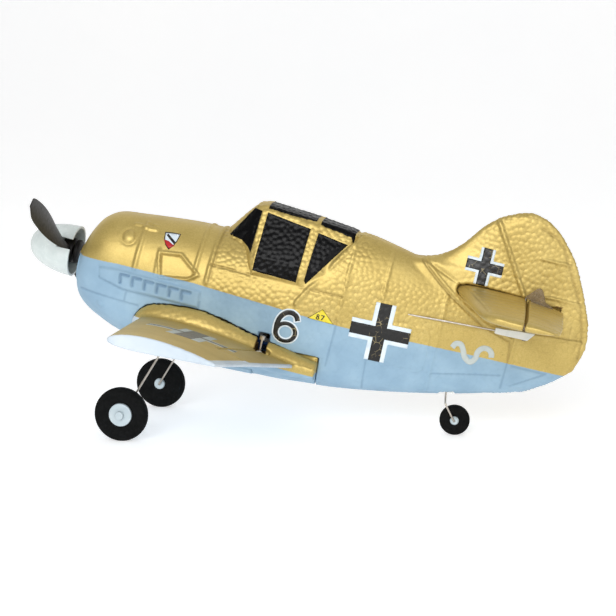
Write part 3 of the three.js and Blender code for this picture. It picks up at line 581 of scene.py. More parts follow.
def draped(name, shapes, holes, tree, cast, thickness=0.1, sink=0.3, spacing=0.8):
    """A thin film laid on a skin. Its shapes and holes are flat outlines that cast() turns into rays."""
    shapes, holes = ([[list(p) for p in outline] for outline in group] for group in (shapes, holes))
    points, edges = [], []
    for outline in shapes + holes:
        ring = loop(outline, spacing)
        first = len(points)
        points += ring
        edges += [(first + k, first + (k + 1) % len(ring)) for k in range(len(ring))]
    border = np.array([list(p) for p in points])
    low, high = border.min(0), border.max(0)
    grid = []
    for row, v in enumerate(np.arange(low[1], high[1], spacing * 0.87)):
        for u in np.arange(low[0] + (row % 2) * spacing / 2, high[0], spacing):
            grid.append((u, v))
    grid = np.array(grid)
    near = np.array([np.min(np.hypot(*(border - g).T)) for g in grid])
    points += [Vector(g) for g in grid[covered(grid, shapes, holes) & (near > 0.55 * spacing)]]
    verts, _, faces, *_ = delaunay_2d_cdt(points, edges, [], 0, 1e-5)
    flat = np.array([list(v) for v in verts])
    centres = np.array([flat[list(f)].mean(0) for f in faces])
    keep = covered(centres, shapes, holes)
    work = bmesh.new()
    tops, lows = {}, {}
    for k, v in enumerate(flat):
        location, normal, _, _ = tree.ray_cast(*(Vector(part) for part in cast(v)))
        if location is not None:
            tops[k] = work.verts.new(location + normal * thickness)
            lows[k] = work.verts.new(location - normal * sink)
    for face, wanted in zip(faces, keep):
        if wanted and all(k in tops for k in face):
            work.faces.new([tops[k] for k in face])
            work.faces.new([lows[k] for k in reversed(face)])
    pairs = {tops[k]: lows[k] for k in tops}
    for edge in [e for e in work.edges if e.is_boundary and e.verts[0] in pairs and e.verts[1] in pairs]:
        face = edge.link_faces[0]
        a, b = edge.verts
        order = list(face.verts)
        if order[(order.index(a) + 1) % len(order)] != b:
            a, b = b, a
        work.faces.new([b, a, pairs[a], pairs[b]])
    for vert in [v for v in work.verts if not v.link_faces]:
        work.verts.remove(vert)
    bmesh.ops.recalc_face_normals(work, faces=work.faces)
    return from_work(name, work)


# ---- Materials ------------------------------------------------------------------------------


class Nodes:
    """A small helper that writes one node material."""

    def __init__(self, name, **sockets):
        self.material = bpy.data.materials.new(name)
        self.material.use_nodes = True
        self.tree = self.material.node_tree
        self.shader = self.tree.nodes["Principled BSDF"]
        for socket, value in sockets.items():
            self.shader.inputs[socket.replace("_", " ")].default_value = value

    def add(self, kind, inputs=(), **settings):
        node = self.tree.nodes.new(kind)
        for key, value in settings.items():
            setattr(node, key, value)
        for key, value in dict(inputs).items():
            if isinstance(value, bpy.types.NodeSocket):
                self.tree.links.new(value, node.inputs[key])
            else:
                node.inputs[key].default_value = value
        return node

    def link(self, output, socket):
        self.tree.links.new(output, self.shader.inputs[socket])

    def texture(self, kind, output, inputs, **settings):
        place = self.add("ShaderNodeTexCoord").outputs["Object"]
        return self.add(kind, {"Vector": place, **inputs}, **settings).outputs[output]

    def noise(self, scale, detail=3, roughness=0.55):
        inputs = {"Scale": scale, "Detail": detail, "Roughness": roughness}
        return self.texture("ShaderNodeTexNoise", "Fac", inputs)

    def cells(self, scale, feature="F1"):
        return self.texture("ShaderNodeTexVoronoi", "Distance", {"Scale": scale}, feature=feature)

    def ramp(self, factor, stops):
        node = self.add("ShaderNodeValToRGB", {"Fac": factor})
        elements = node.color_ramp.elements
        while len(elements) < len(stops):
            elements.new(0.5)
        for element, (position, colour) in zip(elements, stops):
            element.position = position
            element.color = (*colour, 1)
        return node.outputs["Color"]

    def range(self, value, low, high, to_low=0.0, to_high=1.0):
        inputs = {0: value, 1: low, 2: high, 3: to_low, 4: to_high}
        return self.add("ShaderNodeMapRange", inputs).outputs[0]

    def math(self, operation, a, b=0.0):
        return self.add("ShaderNodeMath", {0: a, 1: b}, operation=operation).outputs[0]

    def mix(self, factor, a, b):
        node = self.add("ShaderNodeMix", data_type="RGBA")
        for socket, value in ((0, factor), (6, a), (7, b)):
            if isinstance(value, bpy.types.NodeSocket):
                self.tree.links.new(value, node.inputs[socket])
            else:
                node.inputs[socket].default_value = value if socket == 0 else (*value, 1)
        return node.outputs[2]

    def attribute(self, name):
        return self.add("ShaderNodeAttribute", attribute_name=name).outputs["Fac"]

    def bump(self, *layers):
        """Bump layers, each a height, a strength and a depth in metres."""
        normal = None
        for height, strength, distance in layers:
            inputs = {"Height": height, "Strength": strength, "Distance": distance}
            if normal is not None:
                inputs["Normal"] = normal
            normal = self.add("ShaderNodeBump", inputs).outputs["Normal"]
        self.link(normal, "Normal")


def srgb(r, g, b):
    """A display colour as the linear values that the shader takes."""
    shares = (r / 255, g / 255, b / 255)
    return tuple(c / 12.92 if c <= 0.04045 else ((c + 0.055) / 1.055) ** 2.4 for c in shares)


BLUE_FOAM = [(0.3, srgb(134, 165, 188)), (0.5, srgb(143, 174, 196)), (0.7, srgb(153, 183, 203))]
PALE_FOAM = [(0.3, srgb(184, 196, 208)), (0.5, srgb(194, 206, 216)), (0.7, srgb(204, 214, 222))]


def foam_material(name, under, specks):
    """Moulded foam, gold above the paint line; specks are the bare spots in the gold."""
    m = Nodes(name, Specular_IOR_Level=0.45)
    wobble = m.math("MULTIPLY", m.math("SUBTRACT", m.noise(900, 2), 0.5), 0.5)
    is_gold = m.range(m.math("ADD", m.attribute("paint"), wobble), -0.12, 0.12)
    broad, fine = m.noise(60, 3), m.noise(1400, 2)
    golden = m.ramp(m.math("ADD", m.math("MULTIPLY", broad, 0.5), m.math("MULTIPLY", fine, 0.5)), [
        (0.3, srgb(182, 158, 88)), (0.5, srgb(195, 171, 99)), (0.7, srgb(208, 185, 114))])
    bare = m.math("MULTIPLY", m.range(m.cells(170), 0.05, 0.08, 1, 0), m.range(m.noise(45, 2), 0.5, 0.62))
    golden = m.mix(m.math("MULTIPLY", bare, specks), golden, srgb(74, 60, 30))
    # Painted shade: a stored attribute darkens bead seams, grooves, notches and slot insides towards a
    # shadow tone, gold or blue.
    painted_shade = m.math("MULTIPLY", m.attribute("painted_shade"), 0.62)
    bottom = m.mix(m.attribute("belly"), m.ramp(broad, under), m.ramp(broad, BLUE_FOAM))
    painted = m.mix(is_gold, bottom, golden)
    shadow = m.mix(is_gold, srgb(84, 112, 140), srgb(104, 78, 34))
    m.link(m.mix(painted_shade, painted, shadow), "Base Color")
    m.link(m.range(is_gold, 0, 1, 0.0, 0.5), "Metallic")
    m.link(m.math("ADD", m.range(is_gold, 0, 1, 0.5, 0.37), m.math("MULTIPLY", fine, 0.12)), "Roughness")
    m.bump((m.noise(420, 4, 0.6), 0.12, 0.00012), (m.noise(2600, 2), 0.3, 0.00005))
    return m.material


def plain_material(name, colour, shade, roughness, metallic=0.0, grain=900, depth=0.00004, **sockets):
    """Moulded plastic, rubber, metal or film: two close tones, uneven gloss and a fine surface."""
    m = Nodes(name, Metallic=metallic, **sockets)
    blotches = m.noise(220, 4)
    m.link(m.ramp(blotches, [(0.3, srgb(*shade)), (0.7, srgb(*colour))]), "Base Color")
    m.link(m.range(m.noise(700, 3), 0.3, 0.7, roughness * 0.85, roughness * 1.15), "Roughness")
    m.bump((m.noise(grain, 3), 0.4, depth))
    return m.material


def scratched_material(name, colour, shade, under):
    """A printed film with fine cracks that show the paint under it."""
    m = Nodes(name)
    cracks = m.range(m.cells(300, "DISTANCE_TO_EDGE"), 0.012, 0.032, 1, 0)
    worn = m.math("MULTIPLY", cracks, m.range(m.noise(150, 3), 0.53, 0.6))
    film = m.ramp(m.noise(220, 4), [(0.3, srgb(*shade)), (0.7, srgb(*colour))])
    m.link(m.mix(worn, film, srgb(*under)), "Base Color")
    m.link(m.range(m.noise(700, 3), 0.3, 0.7, 0.3, 0.45), "Roughness")
    m.bump((m.noise(1800, 3), 0.4, 0.00004))
    return m.material


# One material for each slot in the record: display colour, shade, roughness, metallic, options
PLAIN = {
    "decal_white": ((226, 236, 242), (206, 220, 230), 0.4),
    "decal_yellow": ((240, 222, 60), (222, 200, 44), 0.4),
    "decal_red": ((196, 32, 36), (164, 20, 26), 0.35),
    "spinner_plastic": ((214, 222, 220), (202, 212, 210), 0.25),
    "hub_plastic": ((196, 208, 212), (180, 194, 200), 0.35),
    "steel_wire": ((206, 198, 188), (168, 160, 150), 0.34, 0.85),
    "white_plastic": ((232, 234, 230), (214, 218, 216), 0.4),
    "gearbox_plastic": ((36, 36, 36), (20, 20, 20), 0.5),
    "brass_gear": ((206, 176, 100), (170, 140, 70), 0.3, 0.95),
    "motor_can": ((180, 184, 188), (140, 144, 150), 0.3, 0.95),
    "servo_case": ((40, 86, 150), (28, 62, 116), 0.3),
    "circuit_board": ((40, 100, 62), (24, 70, 44), 0.4),
    "battery_wrap": ((90, 108, 150), (64, 78, 116), 0.3, 0.3),
    "lead_insulation": ((150, 40, 34), (110, 24, 22), 0.5),
}
MATERIALS = {slot: plain_material(slot, *values) for slot, values in PLAIN.items()}
MATERIALS["painted_foam"] = foam_material("painted_foam", BLUE_FOAM, 0.25)
MATERIALS["decal_black"] = scratched_material("decal_black", (12, 11, 11), (5, 5, 5), (158, 144, 104))
MATERIALS["canopy_paint"] = plain_material(
    "window_paint", (4, 4, 6), (2, 2, 3), 0.28, grain=1500, Specular_IOR_Level=0.14)
MATERIALS["prop_plastic"] = plain_material(
    "prop_plastic", (20, 17, 14), (10, 9, 8), 0.45, Specular_IOR_Level=0.25)
MATERIALS["tyre_foam"] = plain_material(
    "tyre_foam", (14, 15, 15), (6, 7, 7), 0.85, grain=2600, depth=0.00012, Specular_IOR_Level=0.15)
MATERIALS["clear_plastic"] = plain_material(
    "clear_plastic", (176, 158, 128), (150, 132, 104), 0.2, Transmission_Weight=0.6)
WING_FOAM = foam_material("wing_foam", PALE_FOAM, 0.8)
PALE_FILM = plain_material("decal_pale", (192, 200, 196), (176, 186, 186), 0.5)
GREY_FILM = plain_material("decal_grey", (120, 118, 112), (100, 98, 92), 0.45)
for entry in frame["record"]["subparts"]:
    shown = frame["nodes"][entry["node"]]
    shown.data.materials.clear()
    shown.data.materials.append(MATERIALS[entry["material_slot"]])

# ---- Fuselage -------------------------------------------------------------------------------

# Voxel sizes of the foam skins
FUSELAGE_VOXEL, WING_VOXEL, SMALL_VOXEL = 0.62, 0.75, 0.6
fuselage = {}
for side, sign in SIDES.items():
    skin = remeshed(f"fuselage_{side}", f"fuselage_{side}_foam", FUSELAGE_VOXEL)
    fair(skin, fuselage_shape)
    x, y, z = points_of(skin).T
    shoulder = step(155, 168, x) * step(226, 214, x) * step(14, 24, z) * step(64, 54, z)
    relaxed(skin, 14, 1 - shoulder)
    relaxed(skin, 2)
    co = points_of(skin)
    depth = np.minimum(fuselage_shape(co)[0], canopy_shape(co))
    flush = step(-1.2, -0.5, depth)
    bead = beads(co, depth > -1.2, BEAD_SPACING, 11)
    strength = bead_strength(co)
    displaced(skin, flush * (strength * bead + fuselage_details(co)))
    store(skin, "paint", co[:, 2] - paint_border(co[:, 0]))
    # Painted shade: darker seams between the beads, and shadow in the grooves, notches and slot insides.
    bead_seam_shade = np.clip((0.42 - bead) * 2.5, 0, 1) * np.clip(strength * 2.2, 0, 1)
    store(skin, "painted_shade", np.maximum(flush * np.maximum(0.7 * bead_seam_shade, fuselage_shade(co)), slot_shade(co)))
    fuselage[side] = skin

# ---- Fuselage windows and decals ------------------------------------------------------------


def from_side(sign):
    """Where a ray starts and which way it goes, from a point in x and z."""
    return lambda v: ((v[0], sign * 70, v[1]), (0, -sign, 0))


def from_top(v):
    """The same from above, from a point in x and y."""
    return (v[0], v[1], 90), (0, 0, -1)


def plus(x, z, reach, half):
    """A cross with equal arms."""
    corners = [(half, reach), (half, half), (reach, half), (reach, -half), (half, -half), (half, -reach)]
    outline = corners + [(-a, -b) for a, b in corners]
    return [[x + a, z + b] for a, b in outline]


def ellipse(x, z, across, up, count=40):
    turns = [k * 2 * math.pi / count for k in range(count)]
    return [[x + across * math.cos(t), z + up * math.sin(t)] for t in turns]


def stroke(path, half):
    """A flat outline of a rounded pen stroke along a path."""
    line = smooth_path(path, 6)
    left, right = [], []
    for k, p in enumerate(line):
        ahead, behind = line[min(k + 1, len(line) - 1)], line[max(k - 1, 0)]
        along = (ahead - behind).normalized()
        across = Vector((-along.y, along.x)) * half
        left.append(list(p + across))
        right.append(list(p - across))
    return left + right[::-1]


def smooth_path(path, steps):
    points = [Vector(p) for p in path]
    result = []
    for k in range(len(points) - 1):
        a, b = points[k], points[k + 1]
        before = points[k - 1] if k else a - (b - a)
        after = points[k + 2] if k + 2 < len(points) else b + (b - a)
        for n in range(steps):
            t = n / steps
            result.append(0.5 * (2 * a + (b - before) * t + (2 * before - 5 * a + 4 * b - after) * t ** 2
                                 + (3 * a - before - 3 * b + after) * t ** 3))
    return result + [points[-1]]


def six(grow):
    """The number's shapes and its hole, grown on all sides."""
    bowl = ellipse(122.7, -10.5, 6.2 + grow, 5.6 + grow)
    hole = ellipse(122.8, -10.5, 3.9 - grow, 3.7 - grow)
    tail = stroke([[117.8, -10.5], [117.7, -7.2], [118.6, -3.4], [121, -0.6], [124, 0.1], [126.6, -1.2],
                   [127.7, -3.4 - grow]], 1.25 + grow)
    return [bowl, tail], [hole]


WAVE = [
    [207, 0.3], [208.4, 2.7], [211, 2.8], [212.7, 0.3], [214.4, -3.3], [217.6, -5.2], [219.8, -2.6],
    [220.2, 0.8], [222, 3.2], [224.9, 3.6], [227, 2], [227.6, -0.4],
]
SHIELD = [
    [49.2, 24.1], [53.2, 24.7], [57.6, 24.9], [57.1, 21.4], [55.9, 18.6], [54, 16.3], [51.6, 18.2],
    [49.9, 20.8],
]
SHIELD_POINT = [[49.9, 20.6], [52.6, 20.4], [56.5, 18.7], [55.6, 18.4], [54, 16.9], [51.9, 18.5]]
SHIELD_BAR = [[50.4, 22.9], [51.2, 23.6], [56.4, 20.6], [56, 19.4]]
TRIANGLE = [[132.6, -0.5], [138.8, 5.3], [145.4, -1]]
SEVEN = [[138.7, 2.45], [140.6, 2.45], [140.6, 2], [139.6, -0.2], [139.05, -0.2], [140, 1.95], [138.7, 1.95]]
CROSS = (169.6, -0.2, 15.3)
FIN_CROSS = (213.2, 44, 9.5)


def about(outline, factor):
    """An outline scaled about its own middle."""
    middle = np.mean(outline, axis=0)
    return [list(middle + (np.array(p) - middle) * factor) for p in outline]


EIGHT = [ellipse(137.2, 1.75, 0.75, 0.7, 16), ellipse(137.2, 0.55, 0.9, 0.8, 16)]
EIGHT_HOLES = [ellipse(137.2, 1.75, 0.3, 0.28, 10), ellipse(137.2, 0.55, 0.42, 0.36, 10)]
# Films in the order they are laid: name, shapes, holes, height of the film's face, slot
FILMS = [(f"canopy_{name}", [outline], [], 0.22, "canopy_paint") for name, outline in WINDOWS.items()] + [
    ("fuselage_cross_border", [plus(*CROSS, 5.2)], [], 0.08, "decal_white"),
    ("fuselage_cross", [plus(*CROSS, 3.0)], [], 0.16, "decal_black"),
    ("fin_cross_border", [plus(*FIN_CROSS, 3.7)], [], 0.08, "decal_white"),
    ("fin_cross", [plus(*FIN_CROSS, 2.3)], [], 0.16, "decal_black"),
    ("number_border", *six(0.75), 0.08, "decal_white"),
    ("number", *six(0), 0.16, "decal_black"),
    ("triangle_border", [about(TRIANGLE, 1.07)], [], 0.08, "decal_black"),
    ("triangle", [TRIANGLE], [], 0.16, "decal_yellow"),
    ("triangle_eight", EIGHT, EIGHT_HOLES, 0.24, "decal_black"),
    ("triangle_seven", [SEVEN], [], 0.24, "decal_black"),
    ("wave", [stroke(WAVE, 1.45)], [], 0.08, "decal_white"),
    ("shield_border", [SHIELD], [], 0.08, "decal_black"),
    ("shield_field", [about(SHIELD, 0.86)], [], 0.14, "decal_white"),
    ("shield_point", [SHIELD_POINT], [], 0.2, "decal_red"),
    ("shield_bar", [SHIELD_BAR], [], 0.2, "decal_black"),
]
for side, sign in SIDES.items():
    tree = skin_tree(fuselage[side])
    for name, shapes, holes, lift, slot in FILMS:
        film = draped(f"{name}_{side}", shapes, holes, tree, from_side(sign), lift)
        placed(film, "airframe", slot, look=PALE_FILM if name == "wave" else None)
    for name, (front, back) in ROOF_WINDOWS.items():
        edge = [[front, sign * 0.4], [back, sign * 0.4], [back, sign * 10.4], [front, sign * 10.9]]
        film = draped(f"canopy_{name}_{side}", [edge], [], tree, from_top, 0.3, spacing=0.5)
        placed(film, "airframe", "canopy_paint")
for side in SIDES:
    placed(fuselage[side], "airframe", "painted_foam", f"fuselage_{side}")

# ---- Wing, ailerons, hatch and tail ---------------------------------------------------------


def plane_paint(co):
    """Gold above and pale below, with the tip's face and the trailing edge left pale."""
    x, y, z = co.T
    _, middle, half = wing_section(co)
    back = wing_lines(np.abs(y))[1]
    rim = np.minimum((z - middle) + 0.35 * half, 154.4 - np.abs(y))
    trailing = back - x - np.where(np.abs(y) > 96, 3.2, 1.4)
    fillet = (np.abs(y) < 33) & (fillet_shape(co) < 1.2) | (np.abs(y) < 24.5) & (x > 128)
    lower = z - fillet_z(x) + 0.4 * fillet_radius(x) - 7 * step(55, 47, x)
    gold = np.where(fillet, np.maximum(lower, np.where(np.abs(y) > 22, rim, -5)), np.minimum(rim, trailing))
    return np.where(np.abs(y) < 13, -5, gold)


def no_detail(co):
    return np.zeros(len(co))


def unpainted(co):
    return np.full(len(co), -5.0)


def foam_piece(node, shape, paint, voxel, seed, detail=no_detail):
    skin = remeshed(node, f"{node}_foam", voxel)
    fair(skin, shape)
    relaxed(skin, 1)
    co = points_of(skin)
    outer = np.abs(shape(co)[0]) < 1.2
    bead = beads(co, outer, BEAD_SPACING, seed)
    displaced(skin, outer * (bead * BEAD_HEIGHT + detail(co)))
    store(skin, "paint", paint(co))
    # Painted shade: faint darkening in the seams between beads, and shadow in the slot insides.
    store(skin, "painted_shade", np.maximum(outer * np.clip((0.3 - bead) * 2, 0, 1) * 0.2, slot_shade(co)))
    store(skin, "belly", step(30, 27, np.abs(co[:, 1])) * step(50, 60, co[:, 0]))
    return skin


def fillet_beads(co):
    """The fillets' tops are beaded more deeply than the wing's skin."""
    x, _, z = co.T
    top = (fillet_shape(co) < 0.8) & (z > -27) & (x < 145)
    return 0.2 * beads(co, top, 2.9, 4)


def tail_ribs(co):
    """Fine raised ribs along the chord on top, inside a shallow border."""
    x, y, z = co.T
    out = np.abs(y)
    height = np.zeros(len(co))
    for rib in (13, 21, 29, 37, 45, 53, 61):
        height += 0.3 * step(0.8, 0.2, np.abs(out - rib))
    front = 201 + 17 * out / TAIL_HALF_SPAN
    panel = np.minimum(np.minimum(x - front - 4, 68 - out), out - 8)
    height *= step(0, 0.6, panel)
    height -= 0.35 * step(0.9, 0.3, np.abs(panel))
    return height * (z > TAIL_Z)


def tail_paint(co):
    return co[:, 2] - 20


def wing_cross(sign, cx, cy):
    """The arms and the open corners of a wing cross, in x and y."""
    def placed_at(corners):
        return [[cx + a, sign * (cy + b)] for a, b in corners]

    long, narrow, wide, border = 22, 2.4, 4.2, 2.0
    arms = [(wide, long), (wide, narrow), (long, narrow), (long, -narrow), (wide, -narrow), (wide, -long)]
    cross = placed_at(arms + [(-a, -b) for a, b in arms])
    corners = []
    for u in (1, -1):
        for v in (1, -1):
            shape = [(wide, narrow), (long, narrow), (long, narrow + border), (wide + 4, narrow + border),
                     (wide + 4, long), (wide, long)]
            corners.append(placed_at([(u * a, v * b) for a, b in shape]))
    return cross, corners


WING_CROSS_X, WING_CROSS_Y = 87.5, 82
wing = foam_piece("wing", wing_shape, plane_paint, WING_VOXEL, 3, fillet_beads)
ailerons = {side: foam_piece(f"aileron_{side}", wing_shape, plane_paint, SMALL_VOXEL, 5) for side in SIDES}
for side, sign in SIDES.items():
    cross, corners = wing_cross(sign, WING_CROSS_X, WING_CROSS_Y)
    for name, skin, body in (("wing", wing, "airframe"), ("aileron", ailerons[side], f"{side}_aileron")):
        tree = skin_tree(skin)
        film = draped(f"{name}_cross_{side}", [cross], [], tree, from_top, 0.1)
        placed(film, body, "decal_black", look=GREY_FILM)
        for k, corner in enumerate(corners):
            film = draped(f"{name}_cross_border_{side}_{k + 1}", [corner], [], tree, from_top, 0.1)
            if film.data.polygons:
                placed(film, body, "decal_white", look=PALE_FILM)
            else:
                bpy.data.objects.remove(film)
placed(wing, "airframe", "painted_foam", "wing", look=WING_FOAM)
for side in SIDES:
    placed(ailerons[side], f"{side}_aileron", "painted_foam", f"aileron_{side}", look=WING_FOAM)
tailplane = foam_piece("tailplane", tail_shape, tail_paint, SMALL_VOXEL, 7, tail_ribs)
placed(tailplane, "airframe", "painted_foam", "tailplane")
elevator = foam_piece("elevator", tail_shape, tail_paint, SMALL_VOXEL, 8, tail_ribs)
placed(elevator, "elevators", "painted_foam", "elevator")
hatch = foam_piece("battery_hatch", lambda p: (hull_shape(p), 0), unpainted, SMALL_VOXEL, 9)
placed(hatch, "hatch", "painted_foam", "battery_hatch")

# ---- Smooth parts ---------------------------------------------------------------------------


def skinned(name, verts, faces):
    work = bmesh.new()
    points = [work.verts.new(v) for v in verts]
    for face in faces:
        work.faces.new([points[k] for k in face])
    bmesh.ops.remove_doubles(work, verts=work.verts, dist=1e-5)
    bmesh.ops.recalc_face_normals(work, faces=work.faces)
    return from_work(name, work)


def bridged(name, rings, ends=True, around=False):
    """A skin over rings of points; around closes the last ring onto the first."""
    count = len(rings[0])
    verts = [v for ring in rings for v in ring]
    faces = []
    for r in range(len(rings) if around else len(rings) - 1):
        a, b = r * count, (r + 1) % len(rings) * count
        faces += [(a + k, a + (k + 1) % count, b + (k + 1) % count, b + k) for k in range(count)]
    if ends and not around:
        faces += [tuple(range(count)), tuple(range(len(verts) - count, len(verts)))]
    return skinned(name, verts, faces)


def basis(axis):
    """Two directions square to an axis."""
    along = Vector(axis).normalized()
    first = along.orthogonal().normalized()
    return along, first, along.cross(first)


def revolved(name, profile, centre=(0, 0, 0), axis=(1, 0, 0), sides=72):
    """A closed outline of radius and height, turned about an axis."""
    along, first, second = basis(axis)
    rings = []
    for k in range(sides):
        turn = 2 * math.pi * k / sides
        out = first * math.cos(turn) + second * math.sin(turn)
        rings.append([Vector(centre) + out * r + along * h for r, h in profile])
    return bridged(name, rings, around=True)


def bend(before, corner, after, radius, share, steps):
    """A rounded corner that takes at most a share of the runs on each side."""
    start, end = (corner + (p - corner).normalized() * min(radius, (p - corner).length * share)
                  for p in (before, after))
    return [start * (1 - t) ** 2 + corner * 2 * t * (1 - t) + end * t * t
            for t in (n / steps for n in range(steps + 1))]


def rounded(outline, radii, steps=4):
    """An outline with its corners rounded, by one radius or by one for each corner."""
    radii = radii if isinstance(radii, list) else [radii] * len(outline)
    result = []
    for k, radius in enumerate(radii):
        before, corner, after = (Vector(outline[(k + n) % len(outline)]) for n in (-1, 0, 1))
        result += bend(before, corner, after, radius, 0.49, steps)
    return result


def rounded_path(path, radius, steps=6):
    points = [Vector(p) for p in path]
    result = [points[0]]
    for before, corner, after in zip(points, points[1:], points[2:]):
        result += bend(before, corner, after, radius, 0.45, steps)
    return result + [points[-1]]


def tube(name, path, radius, corner=1.2, sides=16, bore=0.0):
    """A round wire, or a pipe with a bore, through points with rounded corners."""
    line = rounded_path(path, corner)
    _, across, _ = basis(line[1] - line[0])
    turns = [2 * math.pi * n / sides for n in range(sides)]
    circles = []
    for k in range(len(line)):
        along = (line[min(k + 1, len(line) - 1)] - line[max(k - 1, 0)]).normalized()
        across = (across - along * across.dot(along)).normalized()
        other = along.cross(across)
        circles.append([across * math.cos(t) + other * math.sin(t) for t in turns])

    def rings(size):
        return [[c + v * size for v in circle] for c, circle in zip(line, circles)]

    outer = rings(radius)
    if bore:
        return bridged(name, outer + rings(bore)[::-1], around=True)
    # A wire's ends are chamfered
    caps = []
    for end, inward in ((0, 1), (-1, -2)):
        shift = (line[end] - line[inward]).normalized() * 0.28 * radius
        caps.append([line[end] + v * radius * 0.72 + shift for v in circles[end]])
    return bridged(name, [caps[0], *outer, caps[1]])


def plate(name, outline, low, high, edge=0.15):
    """An upright plate drawn in x and z between two values of y, with softened edges."""
    corners = [Vector(p) for p in outline]
    middle = sum(corners, Vector((0, 0))) / len(corners)
    rings = []
    for y, inset in ((low, edge), (low + edge, 0), (high - edge, 0), (high, edge)):
        ring = [p + (middle - p).normalized() * inset for p in corners]
        rings.append([(p.x, y, p.y) for p in ring])
    return bridged(name, rings)


def cut(obj, cutter):
    """Takes one skin away from another."""
    modifier = obj.modifiers.new("Cut", "BOOLEAN")
    modifier.operation = "DIFFERENCE"
    modifier.solver = "EXACT"
    modifier.object = cutter
    evaluated(obj)
    bpy.data.objects.remove(cutter)


def joined(name, *pieces):
    """One object from several separate skins."""
    work = bmesh.new()
    for piece in pieces:
        work.from_mesh(piece.data)
        bpy.data.objects.remove(piece)
    return from_work(name, work)


def fitted(obj, body, slot, *nodes, look=None, angle=38):
    """Like placed, for a part with crisp edges."""
    placed(obj, body, slot, *nodes, look=look)
    obj.data.set_sharp_from_angle(angle=math.radians(angle))
    return obj


def turned(obj, angle):
    """Turns a skin about the thrust line."""
    obj.data.transform(Matrix.Rotation(angle, 4, "X"))
    return obj


# ---- Propeller and spinner ------------------------------------------------------------------

SPINNER_RADIUS, SPINNER_LENGTH, SPINNER_WALL = 13.7, 25.4, 1.2
PROP_RADIUS, BLADE_X = 76, -3.8
PROP_TURN = math.radians(90 - 22.7)
BLADE_CHORD = [
    [4, 5.2], [7, 5.4], [13, 6.4], [20, 10.6], [34, 14.4], [50, 15.6], [64, 13.6], [73, 8],
    [PROP_RADIUS, 3.2],
]
blade_chord = curve(BLADE_CHORD, 1)
BLADE_PROFILE = [
    (0.5, 0), (0.25, 0.42), (-0.1, 0.5), (-0.5, 0.06), (-0.5, -0.06), (-0.1, -0.3), (0.25, -0.28),
]
BLADE_PITCH = 15.5


def blade(name, flip):
    section = rounded(BLADE_PROFILE, [0.03, 0.2, 0.2, 0.02, 0.02, 0.2, 0.2], 3)
    rings = []
    for r in np.concatenate([np.linspace(4.5, 70, 40), PROP_RADIUS - 6 * np.linspace(1, 0, 12)[1:] ** 2]):
        chord = float(blade_chord(np.array([r]))[0])
        tip = max(0.0, (r - 72.5) / 3.5)
        chord = (chord + 2.2 * step(62, 74, r)) * math.sqrt(max(0.02, 1 - tip ** 3 * 0.95))
        angle = math.atan(BLADE_PITCH / max(r, 11))
        thick = 2.9 * (1 - r / PROP_RADIUS) + 0.9
        rake = -2.2 * (r / PROP_RADIUS) ** 2
        ring = []
        for c, t in section:
            a, b = c * chord, t * thick
            x = BLADE_X + rake - a * math.sin(angle) - b * math.cos(angle)
            y = a * math.cos(angle) - b * math.sin(angle)
            ring.append(Vector((x, flip * y, flip * r)))
        rings.append(ring)
    return bridged(name, rings)


hub_front, hub_back = BLADE_X - 2.9, BLADE_X + 2.9
hub_profile = rounded([(2.3, hub_front), (6.6, hub_front), (6.6, hub_back), (2.3, hub_back)], 0.4)
propeller = joined("propeller_moulding", blade("blade_one", 1), blade("blade_two", -1),
                   revolved("hub", hub_profile))
fitted(turned(propeller, PROP_TURN), "propeller_drive", "prop_plastic", "propeller", angle=50)

outside = [(SPINNER_RADIUS * math.cos(t) ** 0.86, -SPINNER_LENGTH * math.sin(t))
           for t in np.linspace(0, math.pi / 2 - 0.02, 34)]
inside_wall = [(r * (1 - SPINNER_WALL / SPINNER_RADIUS), h * (1 - SPINNER_WALL / SPINNER_LENGTH))
               for r, h in reversed(outside)]
tip = [(0.02, -SPINNER_LENGTH), (0.02, -SPINNER_LENGTH + SPINNER_WALL)]
spinner = revolved("spinner_shell", outside + tip + inside_wall, sides=96)
slot = rounded([(-7.6, -20), (5, -20), (5, 20), (-7.6, 20)], [1.2, 0.01, 0.01, 1.2])
cut(spinner, turned(plate("slot_box", slot, -2.9, 2.9, 0.01), PROP_TURN))
post = revolved("spinner_post", rounded([(0.02, -24.2), (2.4, -24.2), (2.4, -12.6), (0.02, -12.6)], 0.2))
fitted(joined("spinner_cap", spinner, post), "propeller_drive", "spinner_plastic", "spinner")

flange = [(1.05, 2), (1.05, -8.6), (2, -8.6), (2, 0), (6.4, 0), (6.4, 2)]
flange = rounded(flange, [0.01, 0.01, 0.3, 0.6, 0.4, 0.4])
fitted(revolved("adapter_flange", flange), "propeller_drive", "prop_plastic", "prop_adapter")
nut = revolved("lock_nut", rounded([(1.05, -11.6), (3.5, -11.6), (3.5, -8.9), (1.05, -8.9)], 0.12), sides=6)
fitted(nut, "propeller_drive", "steel_wire", "prop_nut", angle=25)
shaft = revolved("drive_shaft", rounded([(0.02, -12.2), (1, -12.2), (1, 36), (0.02, 36)], 0.25), sides=32)
fitted(shaft, "propeller_drive", "steel_wire", "prop_shaft")

# ---- Wheels and gear wires ------------------------------------------------------------------

WHEEL_X, WHEEL_Z, WHEEL_Y = 51.2, -69.6, 39.45
TAIL_WHEEL_X, TAIL_WHEEL_Z = 217.1, -38.7
LEG_Y, LEG_TOP = 34, (66.2, -27.5)


def tyre(name, radius, half, bore, cover, centre, outward):
    """A foam tyre whose inner face reaches in over the hub, as far as cover."""
    profile = [
        (bore, half * 0.82), (radius * 0.62, half), (radius, half), (radius, -half),
        (radius * 0.62, -half), (cover, -half), (cover, -half + 0.3), (bore, -half + 0.3)]
    radii = [0.3, 1, half * 0.85, half * 0.85, 1, 0.2, 0.1, 0.05]
    return revolved(name, rounded(profile, radii, 6), centre, (0, outward, 0), 96)


